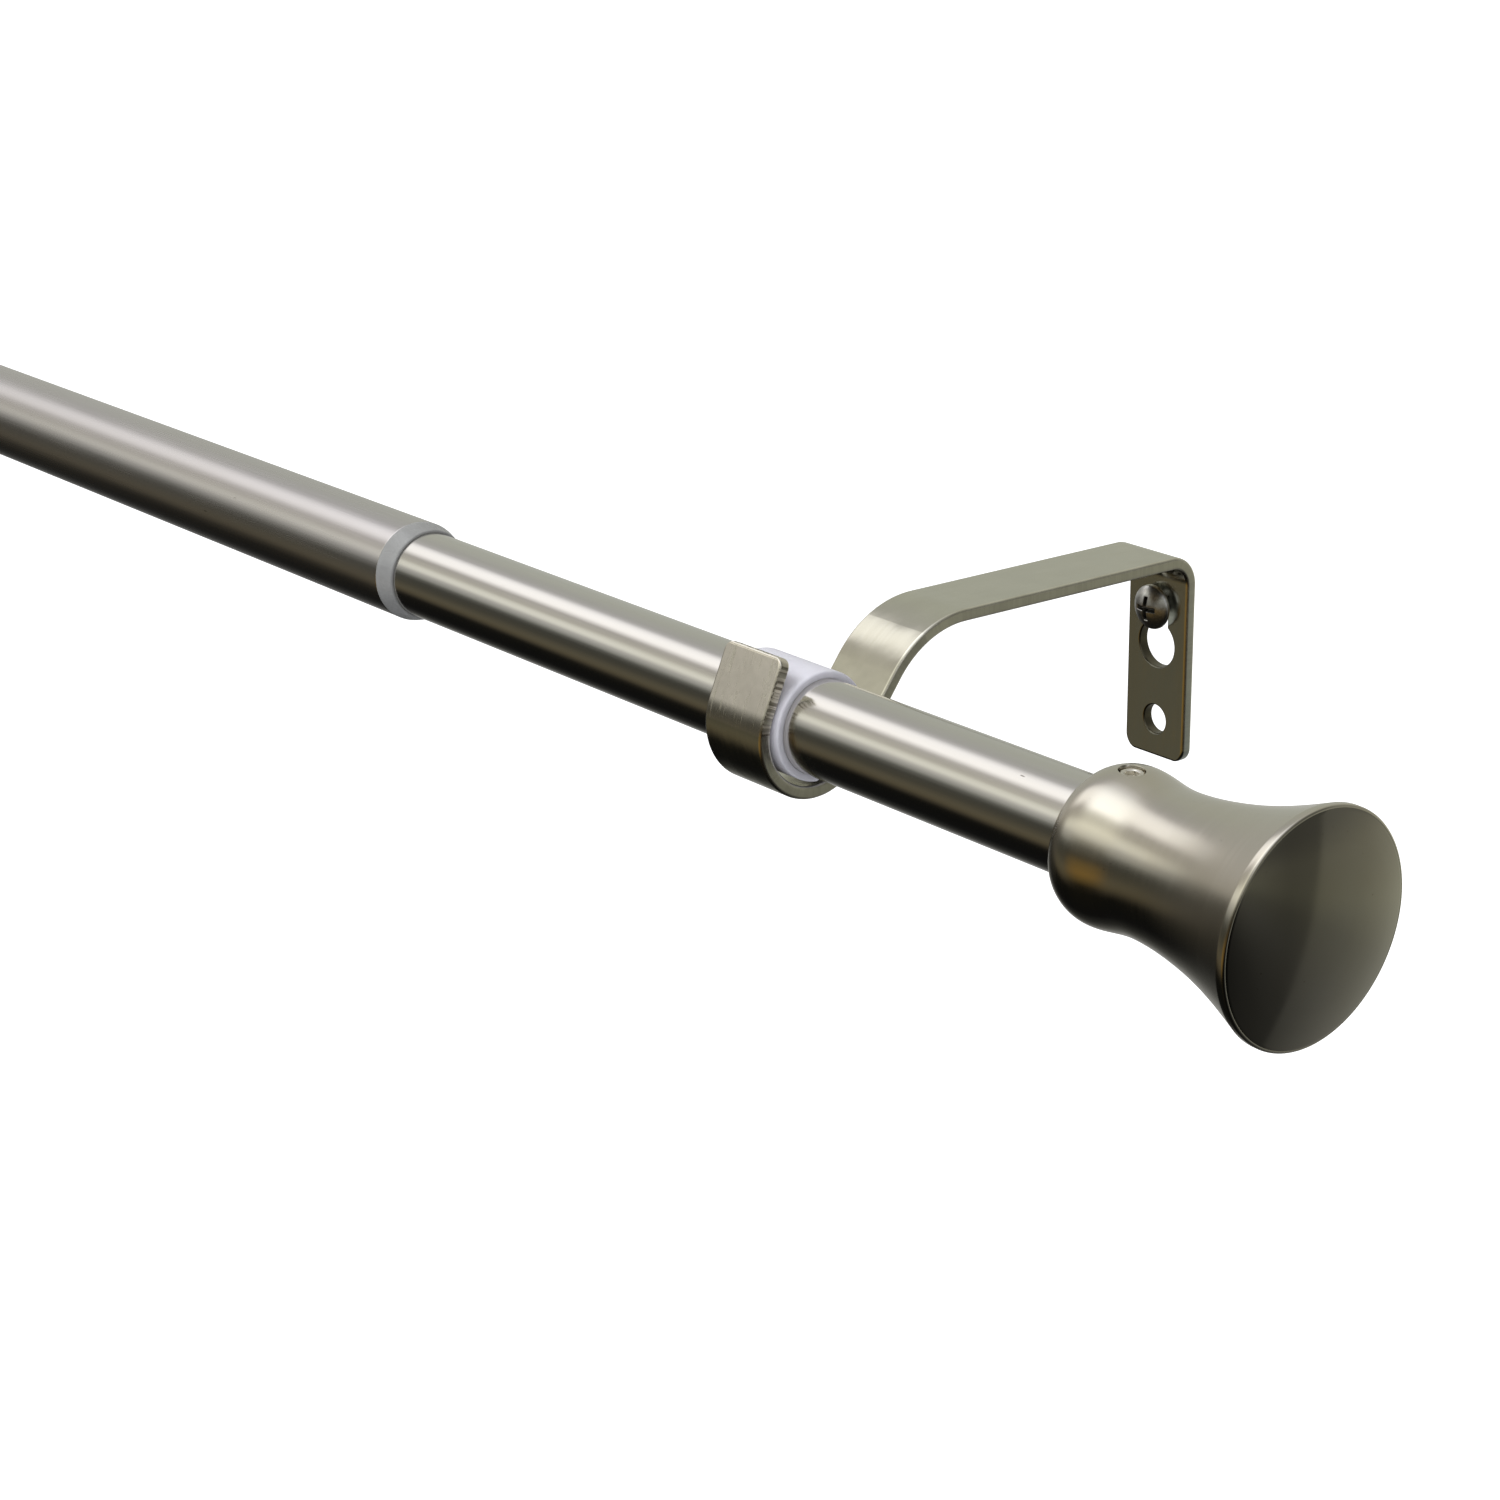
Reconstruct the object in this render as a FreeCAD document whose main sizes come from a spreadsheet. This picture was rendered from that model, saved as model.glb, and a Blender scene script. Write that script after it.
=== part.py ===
import FreeCAD, Part
import math
import os

import Sketcher

# Telescoping curtain rod on two wall brackets.
# Frame: +X along the rod, +Y into the wall, +Z up. The wall is the plane Y = 0 and the
# origin is on it, level with the rod's axis and in the middle of the right bracket.
# All sizes are millimetres.

V = FreeCAD.Vector
DOC = FreeCAD.newDocument("curtain_rod")

# ---------------------------------------------------------------- driving dimensions
SIZES = [
    # wall bracket: one flat strip, bent four times
    ("strip_width", 14.6, "width of the bracket's strip"),
    ("strip_thick", 2.25, "thickness of the bracket's strip"),
    ("strip_edge", 0.55, "rounding of the strip's long edges"),
    ("rod_to_wall", 88.4, "rod's axis to the wall, 3.5 in less the tolerance"),
    ("plate_bottom", 27.5, "wall plate's lower end below the rod's axis"),
    ("plate_corner", 2.8, "corner radius at the lower end of the wall plate"),
    ("bend_wall", 4.85, "mid radius of the bend above the wall plate"),
    ("arm_top", 12.3, "upper face of the arm above the rod's axis, at the wall"),
    ("arm_top_at", 78.5, "where arm_top is measured, from the rod's axis"),
    ("arm_pitch", 1.0, "rise of the arm towards the rod, degrees"),
    ("bend_arm", 18.9, "mid radius of the bend between the arm and the slope"),
    ("slope_pitch", 53.1, "pitch of the sloping stretch, degrees"),
    ("hook_bore", 9.75, "inside radius of the hook"),
    ("hook_drop", 0.8, "hook's centre below the rod's axis"),
    ("tip_lean", 23.7, "lean of the hook's straight tip from the vertical, degrees"),
    ("tip_long", 9.7, "length of the hook's straight tip"),
    ("tip_corner", 1.8, "corner radius at the end of the tip"),
    ("key_big", 4.3, "radius of the keyhole's round opening"),
    ("key_big_at", 6.1, "its centre below the rod's axis"),
    ("key_slot", 2.5, "half width of the keyhole's slot"),
    ("key_slot_at", 1.2, "centre of the slot's upper end above the rod's axis"),
    ("low_hole", 2.7, "radius of the lower fixing hole"),
    ("low_hole_at", 20.5, "its centre below the rod's axis"),
    ("left_bracket_at", 676.3, "left bracket's centre to the left of the right one"),
    ("left_bracket_up", 0.8, "left bracket screwed on this much higher, so that the thicker tube lies clear in its hook"),
    # tubes
    ("outer_tube_rad", 9.5, "outer tube, outside radius (19 mm tube)"),
    ("outer_tube_bore", 8.9, "outer tube, inside radius"),
    ("outer_tube_long", 660.0, "outer tube, length"),
    ("outer_tube_end", 110.5, "outer tube's mouth to the left of the right bracket"),
    ("inner_tube_rad", 8.15, "inner tube, outside radius"),
    ("inner_tube_bore", 7.55, "inner tube, inside radius"),
    ("inner_tube_long", 660.0, "inner tube, length"),
    ("inner_tube_end", 94.5, "inner tube's right end from the right bracket"),
    # plastic end ring of the outer tube
    ("ring_bore", 8.23, "end ring, bore"),
    ("ring_flange", 4.0, "end ring, width of the flange outside the tube"),
    ("ring_rad", 9.5, "end ring, radius of the flange"),
    ("ring_land", 0.8, "end ring, width of the flange at its full radius"),
    ("ring_nose", 8.6, "end ring, radius at the front of its sloping shoulder"),
    ("ring_round", 3.0, "end ring, rounding where the slope begins"),
    ("ring_spigot", 12.0, "end ring, length inside the tube"),
    # guide bush on the inner tube's hidden end
    ("bush_rad", 8.85, "guide bush, running radius in the outer tube"),
    ("bush_long", 8.0, "guide bush, length of the running land"),
    ("bush_spigot", 14.0, "guide bush, length pressed into the inner tube"),
    ("bush_bore", 5.6, "guide bush, bore"),
    # split sleeve between the inner tube and the right bracket
    ("sleeve_bore", 8.23, "split sleeve, bore"),
    ("sleeve_rad", 9.4, "split sleeve, outside radius"),
    ("sleeve_long", 17.0, "split sleeve, length"),
    ("sleeve_slit", 1.3, "split sleeve, width of the slit"),
    ("sleeve_edge", 0.3, "split sleeve, rounding of the end edges"),
    # finial: a turned shell with a domed cap
    ("finial_at", 72.9, "right finial's mouth from the right bracket"),
    ("finial_bore", 9.6, "finial, bore for the tube"),
    ("finial_depth", 22.3, "finial, depth of the bore"),
    ("finial_stop", 7.9, "finial, radius of the opening in the stop"),
    ("finial_long", 42.9, "finial, mouth to rim"),
    ("finial_rim", 18.5, "finial, radius of the rim"),
    ("finial_lip", 1.2, "finial, width of the cylindrical rim"),
    ("cap_seat", 18.0, "finial, radius of the seat for the cap"),
    ("cap_thick", 1.2, "cap, thickness at its edge"),
    ("cap_dome", 3.0, "cap, height of the dome above its edge"),
    ("finial_droop", 2.0, "the right finial hangs in its slack on the inner tube, degrees"),
    ("finial_sag", 0.45, "drop of its axis at the mouth"),
    # trumpet outline of the finial: radius at each distance from the mouth
    ("tr_a", 10.2, "at 0.0"),
    ("tr_b", 11.2, "at 0.6"),
    ("tr_c", 11.85, "at 1.5"),
    ("tr_d", 12.6, "at 3.7"),
    ("tr_e", 12.68, "at 6.1"),
    ("tr_f", 12.25, "at 9.1"),
    ("tr_g", 11.8, "at 12.6"),
    ("tr_i", 11.83, "at 16.1"),
    ("tr_j", 12.15, "at 19.6"),
    ("tr_k", 12.78, "at 23.6"),
    ("tr_l", 13.75, "at 28.1"),
    ("tr_n", 15.05, "at 32.6"),
    ("tr_o", 16.65, "at 37.1"),
    # set screw of a finial: M4, hexagon socket
    ("grub_rad", 1.95, "set screw, radius over the thread"),
    ("grub_hole", 2.0, "threaded hole for it, radius"),
    ("grub_in_left", 9.6, "the same on the left finial, on the thicker tube"),
    ("grub_long", 3.2, "set screw, length"),
    ("grub_in", 9.0, "set screw's inner end from the right finial's axis"),
    ("grub_at", 6.0, "set screw from the finial's mouth"),
    ("grub_hex", 2.0, "its socket, across the flats"),
    ("grub_socket", 1.4, "its socket, depth"),
    # wall screw: pan head, cross recess
    ("wall_head_rad", 4.1, "wall screw, radius of the head"),
    ("wall_head_high", 2.5, "wall screw, height of the head"),
    ("wall_head_gap", 1.0, "wall screw, head to the plate that hangs on it"),
    ("wall_shank_rad", 2.05, "wall screw, radius over the thread"),
    ("wall_shank_long", 9.0, "wall screw, length under the head"),
    ("wall_tip_long", 3.2, "wall screw, length of the point"),
    ("cross_arm", 2.3, "its recess, length of an arm from the centre"),
    ("cross_wide", 0.9, "its recess, width of an arm"),
    ("cross_deep", 1.5, "its recess, depth"),
]
sheet = DOC.addObject("Spreadsheet::Sheet", "Sizes")
for row, (alias, value, note) in enumerate(SIZES, start=1):
    sheet.set("A%d" % row, note)
    sheet.set("B%d" % row, repr(value))
    sheet.setAlias("B%d" % row, alias)
DOC.recompute()
D = {alias: float(value) for alias, value, _ in SIZES}
S = "Sizes."

NODES = []


# ---------------------------------------------------------------- helpers
def plane(body, role):
    return [f for f in body.Origin.OriginFeatures if f.Role == role][0]


def new_body(label):
    body = DOC.addObject("PartDesign::Body", label)
    body.Label = label
    NODES.append(body)
    return body


def attach(body, name, role, lift=None):
    """A sketch on one of the body's own origin planes, lifted along its normal by an expression."""
    sk = body.newObject("Sketcher::SketchObject", name)
    sk.AttachmentSupport = [(plane(body, role), "")]
    sk.MapMode = "FlatFace"
    if lift is not None:
        sk.setExpression(".AttachmentOffset.Base.z", lift)
    return sk


def value(expr):
    return float(sheet_number(expr)) if isinstance(expr, str) else float(expr)


def sheet_number(expr):
    """Number that a sheet expression stands for, to draw a sketch near its final place."""
    probe = DOC.getObject("probe") or DOC.addObject("App::FeaturePython", "probe")
    if "number" not in probe.PropertiesList:
        probe.addProperty("App::PropertyFloat", "number")
    probe.setExpression("number", expr)
    probe.recompute()
    return probe.number


def fix(sk, kind, args, expr):
    """A dimension bound to the sheet."""
    i = sk.addConstraint(Sketcher.Constraint(kind, *args, value(expr)))
    if isinstance(expr, str):
        sk.setExpression("Constraints[%d]" % i, expr)
    return i


def outline(sk, points):
    """A closed outline of straight edges through points given as sheet expressions."""
    xy = [(value(a), value(b)) for a, b in points]
    n = len(points)
    first = sk.GeometryCount
    for i in range(n):
        a, b = xy[i], xy[(i + 1) % n]
        sk.addGeometry(Part.LineSegment(V(a[0], a[1], 0), V(b[0], b[1], 0)), False)
    for i in range(n):
        sk.addConstraint(Sketcher.Constraint("Coincident", first + i, 2, first + (i + 1) % n, 1))
    for i, (a, b) in enumerate(points):
        fix(sk, "DistanceX", (-1, 1, first + i, 1), a)
        fix(sk, "DistanceY", (-1, 1, first + i, 1), b)


def circle(sk, x, y, radius):
    i = sk.addGeometry(Part.Circle(V(value(x), value(y), 0), V(0, 0, 1), value(radius)), False)
    if x == 0 and y == 0:
        sk.addConstraint(Sketcher.Constraint("Coincident", i, 3, -1, 1))
    else:
        fix(sk, "DistanceX", (-1, 1, i, 3), x)
        fix(sk, "DistanceY", (-1, 1, i, 3), y)
    fix(sk, "Radius", (i,), radius)
    return i


def revolve(body, sk, name="Turned"):
    f = body.newObject("PartDesign::Revolution", name)
    f.Profile = sk
    f.ReferenceAxis = (sk, ["H_Axis"])
    f.Angle = 360.0
    return f


def pad(body, sk, name, length, midplane=False, reverse=False):
    f = body.newObject("PartDesign::Pad", name)
    f.Profile = sk
    f.Length = value(length)
    if isinstance(length, str):
        f.setExpression("Length", length)
    f.Midplane = midplane
    f.Reversed = reverse
    return f


def pocket(body, sk, name, length=None, midplane=False, reverse=False):
    f = body.newObject("PartDesign::Pocket", name)
    f.Profile = sk
    if length is None:
        f.Type = "ThroughAll"
    else:
        f.Length = value(length)
        if isinstance(length, str):
            f.setExpression("Length", length)
    f.Midplane = midplane
    f.Reversed = reverse
    return f


def cut_check(body, before, label):
    """A pocket that removes nothing is an error here."""
    DOC.recompute()
    after = body.Shape.Volume
    if not after < before - 1e-3:
        raise RuntimeError("%s removes nothing from %s" % (label, body.Label))
    return after


def place(body, x=None, y=None, z=None):
    for axis, expr in (("x", x), ("y", y), ("z", z)):
        if expr is not None:
            body.setExpression(".Placement.Base." + axis, expr)


# ---------------------------------------------------------------- wall bracket
def bend_line(edge):
    """Is this edge a line across the strip's width, where a bend meets a flat?"""
    if len(edge.Vertexes) != 2:
        return False
    p, q = edge.Vertexes[0].Point, edge.Vertexes[1].Point
    return abs(abs(p.x - q.x) - D["strip_width"]) < 1e-4


def bracket(label, x_expr, z_expr=None):
    """One strip, bent: wall plate, arm, slope, hook, tip.

    The path is the middle of the strip, in the plane across the rod, and the rod's axis
    is the body's own X axis.
    """
    body = new_body(label)
    path = attach(body, "Path_" + label, "YZ_Plane")
    t = D["strip_thick"]
    wall = D["rod_to_wall"] - t / 2
    a1 = math.radians(D["arm_pitch"])
    a2 = math.radians(D["slope_pitch"])
    lean = math.radians(D["tip_lean"])
    hook_r = D["hook_bore"] + t / 2
    # arm line: its middle runs below its upper face by half the thickness
    arm_dir = (math.cos(a1), -math.sin(a1))
    arm_pt = (D["arm_top_at"] - t / 2 * math.sin(a1), D["arm_top"] - t / 2 * math.cos(a1))
    # bend above the plate
    rw = D["bend_wall"]
    # centre is rw left of the plate line and rw below the arm line
    cx = wall - rw
    cz = arm_pt[1] + (cx - arm_pt[0]) * (-math.tan(a1)) - rw / math.cos(a1)
    w_plate = (wall, cz)
    w_arm = (cx + rw * math.sin(a1), cz + rw * math.cos(a1))
    # hook circle and slope
    hc = (0.0, -D["hook_drop"])
    n2 = (math.sin(a2), -math.cos(a2))
    d2 = (math.cos(a2), math.sin(a2))
    h_slope = (hc[0] + hook_r * n2[0], hc[1] + hook_r * n2[1])
    # bend between slope and arm, below both lines
    rb = D["bend_arm"]
    # line offsets by rb towards the centre of that bend
    p_arm = (arm_pt[0] - rb * math.sin(a1), arm_pt[1] - rb * math.cos(a1))
    p_slope = (h_slope[0] + rb * n2[0], h_slope[1] + rb * n2[1])
    det = arm_dir[0] * (-d2[1]) - (-d2[0]) * arm_dir[1]
    rx, rz = p_slope[0] - p_arm[0], p_slope[1] - p_arm[1]
    k = (rx * (-d2[1]) - (-d2[0]) * rz) / det
    bc = (p_arm[0] + k * arm_dir[0], p_arm[1] + k * arm_dir[1])
    b_arm = (bc[0] + rb * math.sin(a1), bc[1] + rb * math.cos(a1))
    b_slope = (bc[0] - rb * n2[0], bc[1] - rb * n2[1])
    # tip
    n3 = (-math.cos(lean), math.sin(lean))
    d3 = (math.sin(lean), math.cos(lean))
    h_tip = (hc[0] + hook_r * n3[0], hc[1] + hook_r * n3[1])
    tip = (h_tip[0] + D["tip_long"] * d3[0], h_tip[1] + D["tip_long"] * d3[1])

    def seg(a, b):
        return path.addGeometry(Part.LineSegment(V(a[0], a[1], 0), V(b[0], b[1], 0)), False)

    def arc(c, r, a, b):
        s0 = math.atan2(a[1] - c[1], a[0] - c[0])
        s1 = math.atan2(b[1] - c[1], b[0] - c[0])
        return path.addGeometry(
            Part.ArcOfCircle(Part.Circle(V(c[0], c[1], 0), V(0, 0, 1), r), s0, s1), False
        )

    plate_lo = (wall, -D["plate_bottom"])
    g_plate = seg(plate_lo, w_plate)
    g_bw = arc((cx, cz), rw, w_plate, w_arm)  # turns anticlockwise, from plate to arm
    g_arm = seg(w_arm, b_arm)
    g_ba = arc(bc, rb, b_arm, b_slope)  # anticlockwise, from arm to slope
    g_slope = seg(b_slope, h_slope)
    g_hook = arc(hc, hook_r, h_tip, h_slope)  # anticlockwise, from tip to slope
    g_tip = seg(h_tip, tip)
    C = Sketcher.Constraint
    path.addConstraint(
        [
            C("Tangent", g_plate, 2, g_bw, 1),
            C("Tangent", g_bw, 2, g_arm, 1),
            C("Tangent", g_arm, 2, g_ba, 1),
            C("Tangent", g_ba, 2, g_slope, 1),
            C("Tangent", g_slope, 2, g_hook, 2),
            C("Tangent", g_hook, 1, g_tip, 1),
            C("Vertical", g_plate),
            C("PointOnObject", g_hook, 3, -2),
        ]
    )
    fix(path, "DistanceX", (-1, 1, g_plate, 1), S + "rod_to_wall - " + S + "strip_thick / 2")
    fix(path, "DistanceY", (g_plate, 1, -1, 1), S + "plate_bottom")
    fix(path, "Radius", (g_bw,), S + "bend_wall")
    fix(path, "Radius", (g_ba,), S + "bend_arm")
    fix(path, "Radius", (g_hook,), S + "hook_bore + " + S + "strip_thick / 2")
    fix(path, "DistanceY", (g_hook, 3, -1, 1), S + "hook_drop")
    fix(path, "Distance", (g_tip,), S + "tip_long")
    # angles of the three leaning stretches, against the horizontal axis
    fix(path, "DistanceY", (g_slope, 2, g_hook, 3),
        "(" + S + "hook_bore + " + S + "strip_thick / 2) * cos(" + S + "slope_pitch * 1 deg)")
    fix(path, "DistanceY", (g_hook, 3, g_hook, 1),
        "(" + S + "hook_bore + " + S + "strip_thick / 2) * sin(" + S + "tip_lean * 1 deg)")
    fix(path, "DistanceY", (g_ba, 3, g_ba, 1), S + "bend_arm * cos(" + S + "arm_pitch * 1 deg)")
    p = "(" + S + "arm_pitch * 1 deg)"
    half = S + "strip_thick / 2"
    fix(path, "DistanceY", (-1, 1, g_arm, 1),
        S + "arm_top - " + half + " * cos" + p + " - (" + S + "rod_to_wall - " + half + " - " + S + "bend_wall + "
        + S + "bend_wall * sin" + p + " - " + S + "arm_top_at + " + half + " * sin" + p + ") * tan" + p)
    # the strip's section, at the lower end of the plate
    sec = attach(body, "Section_" + label, "XY_Plane", "-" + S + "plate_bottom")
    half_w, wall_y, room_y = S + "strip_width / 2", S + "rod_to_wall", S + "rod_to_wall - " + S + "strip_thick"
    outline(sec, [("-" + half_w, room_y), (half_w, room_y), (half_w, wall_y), ("-" + half_w, wall_y)])
    DOC.recompute()
    pipe = body.newObject("PartDesign::AdditivePipe", "Strip_" + label)
    pipe.Profile = sec
    pipe.Spine = (path, ["Edge%d" % (i + 1) for i in range(7)])
    pipe.Mode = "Standard"
    DOC.recompute()
    # rounded corners, across the strip's thickness: the plate's lower end and the end of the tip
    def across(shape):
        """Straight edges that cross the strip from one broad face to the other."""
        found = []
        for i, edge in enumerate(shape.Edges):
            if len(edge.Vertexes) == 2 and edge.Curve.TypeId == "Part::GeomLine":
                p, q = edge.Vertexes[0].Point, edge.Vertexes[1].Point
                if abs(p.x - q.x) < 1e-6 and abs(edge.Length - D["strip_thick"]) < 1e-4:
                    found.append((i, p, q))
        return found

    low = ["Edge%d" % (i + 1) for i, p, q in across(body.Shape) if abs(p.z + D["plate_bottom"]) < 0.01]
    f1 = body.newObject("PartDesign::Fillet", "PlateCorners_" + label)
    f1.Base = (pipe, low)
    f1.setExpression("Radius", S + "plate_corner")
    DOC.recompute()
    end = ["Edge%d" % (i + 1) for i, p, q in across(f1.Shape) if p.y < 0 and p.z > 9 and q.z > 9]
    f2 = body.newObject("PartDesign::Fillet", "TipCorners_" + label)
    f2.Base = (f1, end)
    f2.setExpression("Radius", S + "tip_corner")
    DOC.recompute()
    # worn round: every edge that runs along the strip or round its ends
    crossing = {i for i, p, q in across(f2.Shape)}
    along = ["Edge%d" % (i + 1) for i in range(len(f2.Shape.Edges)) if i not in crossing and not bend_line(f2.Shape.Edges[i])]
    f3 = body.newObject("PartDesign::Fillet", "Edges_" + label)
    f3.Base = (f2, along)
    f3.setExpression("Radius", S + "strip_edge")
    DOC.recompute()
    for f in (f1, f2, f3):
        if "Invalid" in f.State or f.Shape.isNull():
            raise RuntimeError("%s of %s failed: %s %s %s" % (f.Label, label, low, end, along))
    volume = body.Shape.Volume
    # keyhole and lower fixing hole, through the plate only
    holes = attach(body, "Holes_" + label, "XZ_Plane", "-(" + S + "rod_to_wall + 1)")
    # this plane looks along -Y: its x is X, its y is Z
    g0 = holes.addGeometry(Part.ArcOfCircle(Part.Circle(V(0, D["key_slot_at"], 0), V(0, 0, 1), D["key_slot"]), 0, math.pi), False)
    zc = -D["key_big_at"] + math.sqrt(D["key_big"] ** 2 - D["key_slot"] ** 2)
    sx = D["key_slot"]
    g1 = holes.addGeometry(Part.LineSegment(V(-sx, D["key_slot_at"], 0), V(-sx, zc, 0)), False)
    ang = math.atan2(zc + D["key_big_at"], sx)
    g2 = holes.addGeometry(Part.ArcOfCircle(Part.Circle(V(0, -D["key_big_at"], 0), V(0, 0, 1), D["key_big"]),
                                            math.pi - ang, 2 * math.pi + ang), False)
    g3 = holes.addGeometry(Part.LineSegment(V(sx, zc, 0), V(sx, D["key_slot_at"], 0)), False)
    holes.addConstraint([
        C("Tangent", g0, 2, g1, 1), C("Coincident", g1, 2, g2, 1),
        C("Coincident", g2, 2, g3, 1), C("Tangent", g3, 2, g0, 1),
        C("PointOnObject", g0, 3, -2), C("PointOnObject", g2, 3, -2), C("Vertical", g1),
    ])
    fix(holes, "Radius", (g0,), S + "key_slot")
    fix(holes, "Radius", (g2,), S + "key_big")
    fix(holes, "DistanceY", (-1, 1, g0, 3), S + "key_slot_at")
    fix(holes, "DistanceY", (g2, 3, -1, 1), S + "key_big_at")
    circle(holes, 0.0, "-" + S + "low_hole_at", S + "low_hole")
    key = pocket(body, holes, "Keyhole_" + label, "2 * " + S + "strip_thick", reverse=False)
    DOC.recompute()
    if not body.Shape.Volume < volume - 1:
        key.Reversed = True
    cut_check(body, volume, "keyhole")
    body.Placement.Base = V(0, 0, 0)
    place(body, x_expr, "-" + S + "rod_to_wall", z_expr)
    return body


# ---------------------------------------------------------------- turned pieces
def tube(label, radius, bore, length, x_expr):
    body = new_body(label)
    sk = attach(body, "Ring_" + label, "YZ_Plane")
    circle(sk, 0, 0, radius)
    circle(sk, 0, 0, bore)
    pad(body, sk, "Wall_" + label, length)
    DOC.recompute()
    place(body, x_expr, "-" + S + "rod_to_wall")
    return body


def split_sleeve(label, radius, bore, length, edge, x_expr, mirrored=False):
    """A plastic sleeve with one slit along its underside, so that it can open over the tube."""
    body = new_body(label)
    sk = attach(body, "Section_" + label, "XY_Plane")
    outline(sk, [("-(" + length + ") / 2", bore), (length + " / 2", bore),
                 (length + " / 2", radius + " - " + edge), (length + " / 2 - " + edge, radius),
                 ("-(" + length + ") / 2 + " + edge, radius), ("-(" + length + ") / 2", radius + " - " + edge)])
    revolve(body, sk, "Sleeve_" + label)
    DOC.recompute()
    volume = body.Shape.Volume
    cut = attach(body, "Slit_" + label, "YZ_Plane")
    outline(cut, [("-" + S + "sleeve_slit / 2", "-(" + radius + ") - 1"), (S + "sleeve_slit / 2", "-(" + radius + ") - 1"),
                  (S + "sleeve_slit / 2", "-(" + bore + ") + 2"), ("-" + S + "sleeve_slit / 2", "-(" + bore + ") + 2")])
    pocket(body, cut, "SlitCut_" + label, length + " + 2", midplane=True)
    cut_check(body, volume, "slit")
    place(body, x_expr, "-" + S + "rod_to_wall")
    return body


# distances from the mouth that go with the outline's radii
TRUMPET = [(0.0, "tr_a"), (0.6, "tr_b"), (1.5, "tr_c"), (3.7, "tr_d"), (6.1, "tr_e"),
           (9.1, "tr_f"), (12.6, "tr_g"), (16.1, "tr_i"), (19.6, "tr_j"), (23.6, "tr_k"),
           (28.1, "tr_l"), (32.6, "tr_n"), (37.1, "tr_o")]


def finial(label):
    """Turned shell: rolled mouth, collar, waist and flare, with a bore and a stop for the tube."""
    body = new_body(label)
    sk = attach(body, "Outline_" + label, "XY_Plane")
    L, B = S + "finial_long", S + "finial_bore"
    pts = [V(x, D[a], 0) for x, a in TRUMPET]
    end = V(D["finial_long"] - D["finial_lip"], D["finial_rim"], 0)
    curve = Part.BSplineCurve()
    curve.interpolate(pts + [end])
    g = sk.addGeometry(curve, False)
    # the straight edges, from the end of the flare round the inside to the mouth
    chain = [
        (L + " - " + S + "finial_lip", S + "finial_rim"),
        (L, S + "finial_rim"),
        (L, S + "cap_seat"),
        (L + " - " + S + "cap_thick", S + "cap_seat"),
        (L + " - " + S + "cap_thick", S + "cap_seat - 1.6"),
        (L + " - 6.5", S + "cap_seat - 3.9"),
        (S + "finial_depth + 8", S + "finial_bore + 1.2"),
        (S + "finial_depth + 2", S + "finial_stop"),
        (S + "finial_depth", S + "finial_stop"),
        (S + "finial_depth", B),
        ("0", B),
        ("0", S + "tr_a"),
    ]
    xy = [(value(a), value(b)) for a, b in chain]
    first = sk.GeometryCount
    for a, b in zip(xy, xy[1:]):
        sk.addGeometry(Part.LineSegment(V(a[0], a[1], 0), V(b[0], b[1], 0)), False)
    n = len(xy) - 1
    for i in range(n - 1):
        sk.addConstraint(Sketcher.Constraint("Coincident", first + i, 2, first + i + 1, 1))
    for i, (a, b) in enumerate(chain[:-1]):
        fix(sk, "DistanceX", (-1, 1, first + i, 1), a)
        fix(sk, "DistanceY", (-1, 1, first + i, 1), b)
    fix(sk, "DistanceX", (-1, 1, first + n - 1, 2), "0")
    fix(sk, "DistanceY", (-1, 1, first + n - 1, 2), chain[-1][1])
    sk.addConstraint(Sketcher.Constraint("Block", g))
    revolve(body, sk, "Turned_" + label)
    DOC.recompute()
    volume = body.Shape.Volume
    # threaded hole for the set screw, straight up through the collar
    hole = attach(body, "ScrewHole_" + label, "XY_Plane")
    circle(hole, S + "grub_at", 0.0, S + "grub_hole")
    f = pocket(body, hole, "ScrewHoleCut_" + label, 20.0, reverse=True)
    DOC.recompute()
    volume = cut_check(body, volume, "set screw hole")
    if body.Shape.isInside(V(D["grub_at"], 0, (D["finial_bore"] + D["tr_e"]) / 2), 1e-3, True):
        raise RuntimeError("the set screw's hole is on the wrong side")
    return body


def cap(label):
    """Domed cap pressed into the finial's rim."""
    body = new_body(label)
    sk = attach(body, "Section_" + label, "XY_Plane")
    rim, dome, t = D["cap_seat"], D["cap_dome"], D["cap_thick"]
    ball = (rim ** 2 + dome ** 2) / (2 * dome)
    cx = D["finial_long"] + dome - ball
    a0 = math.atan2(rim, D["finial_long"] - cx)
    C = Sketcher.Constraint
    # outer dome, edge, flat back
    g0 = sk.addGeometry(Part.ArcOfCircle(Part.Circle(V(cx, 0, 0), V(0, 0, 1), ball), 0, a0), False)
    g1 = sk.addGeometry(Part.LineSegment(V(D["finial_long"], rim, 0), V(D["finial_long"] - t, rim, 0)), False)
    g2 = sk.addGeometry(Part.LineSegment(V(D["finial_long"] - t, rim, 0), V(D["finial_long"] - t, 0, 0)), False)
    g3 = sk.addGeometry(Part.LineSegment(V(D["finial_long"] - t, 0, 0), V(D["finial_long"] + dome, 0, 0)), False)
    sk.addConstraint([
        C("Coincident", g0, 2, g1, 1), C("Coincident", g1, 2, g2, 1), C("Coincident", g2, 2, g3, 1),
        C("Coincident", g3, 2, g0, 1), C("PointOnObject", g3, 2, -1), C("PointOnObject", g0, 3, -1),
        C("Horizontal", g1), C("Vertical", g2), C("Horizontal", g3),
    ])
    fix(sk, "DistanceX", (-1, 1, g1, 1), S + "finial_long")
    fix(sk, "DistanceY", (-1, 1, g1, 1), S + "cap_seat")
    fix(sk, "DistanceX", (g1, 2, g1, 1), S + "cap_thick")
    fix(sk, "DistanceX", (g1, 1, g3, 2), S + "cap_dome")
    revolve(body, sk, "Dome_" + label)
    DOC.recompute()
    return body


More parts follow.
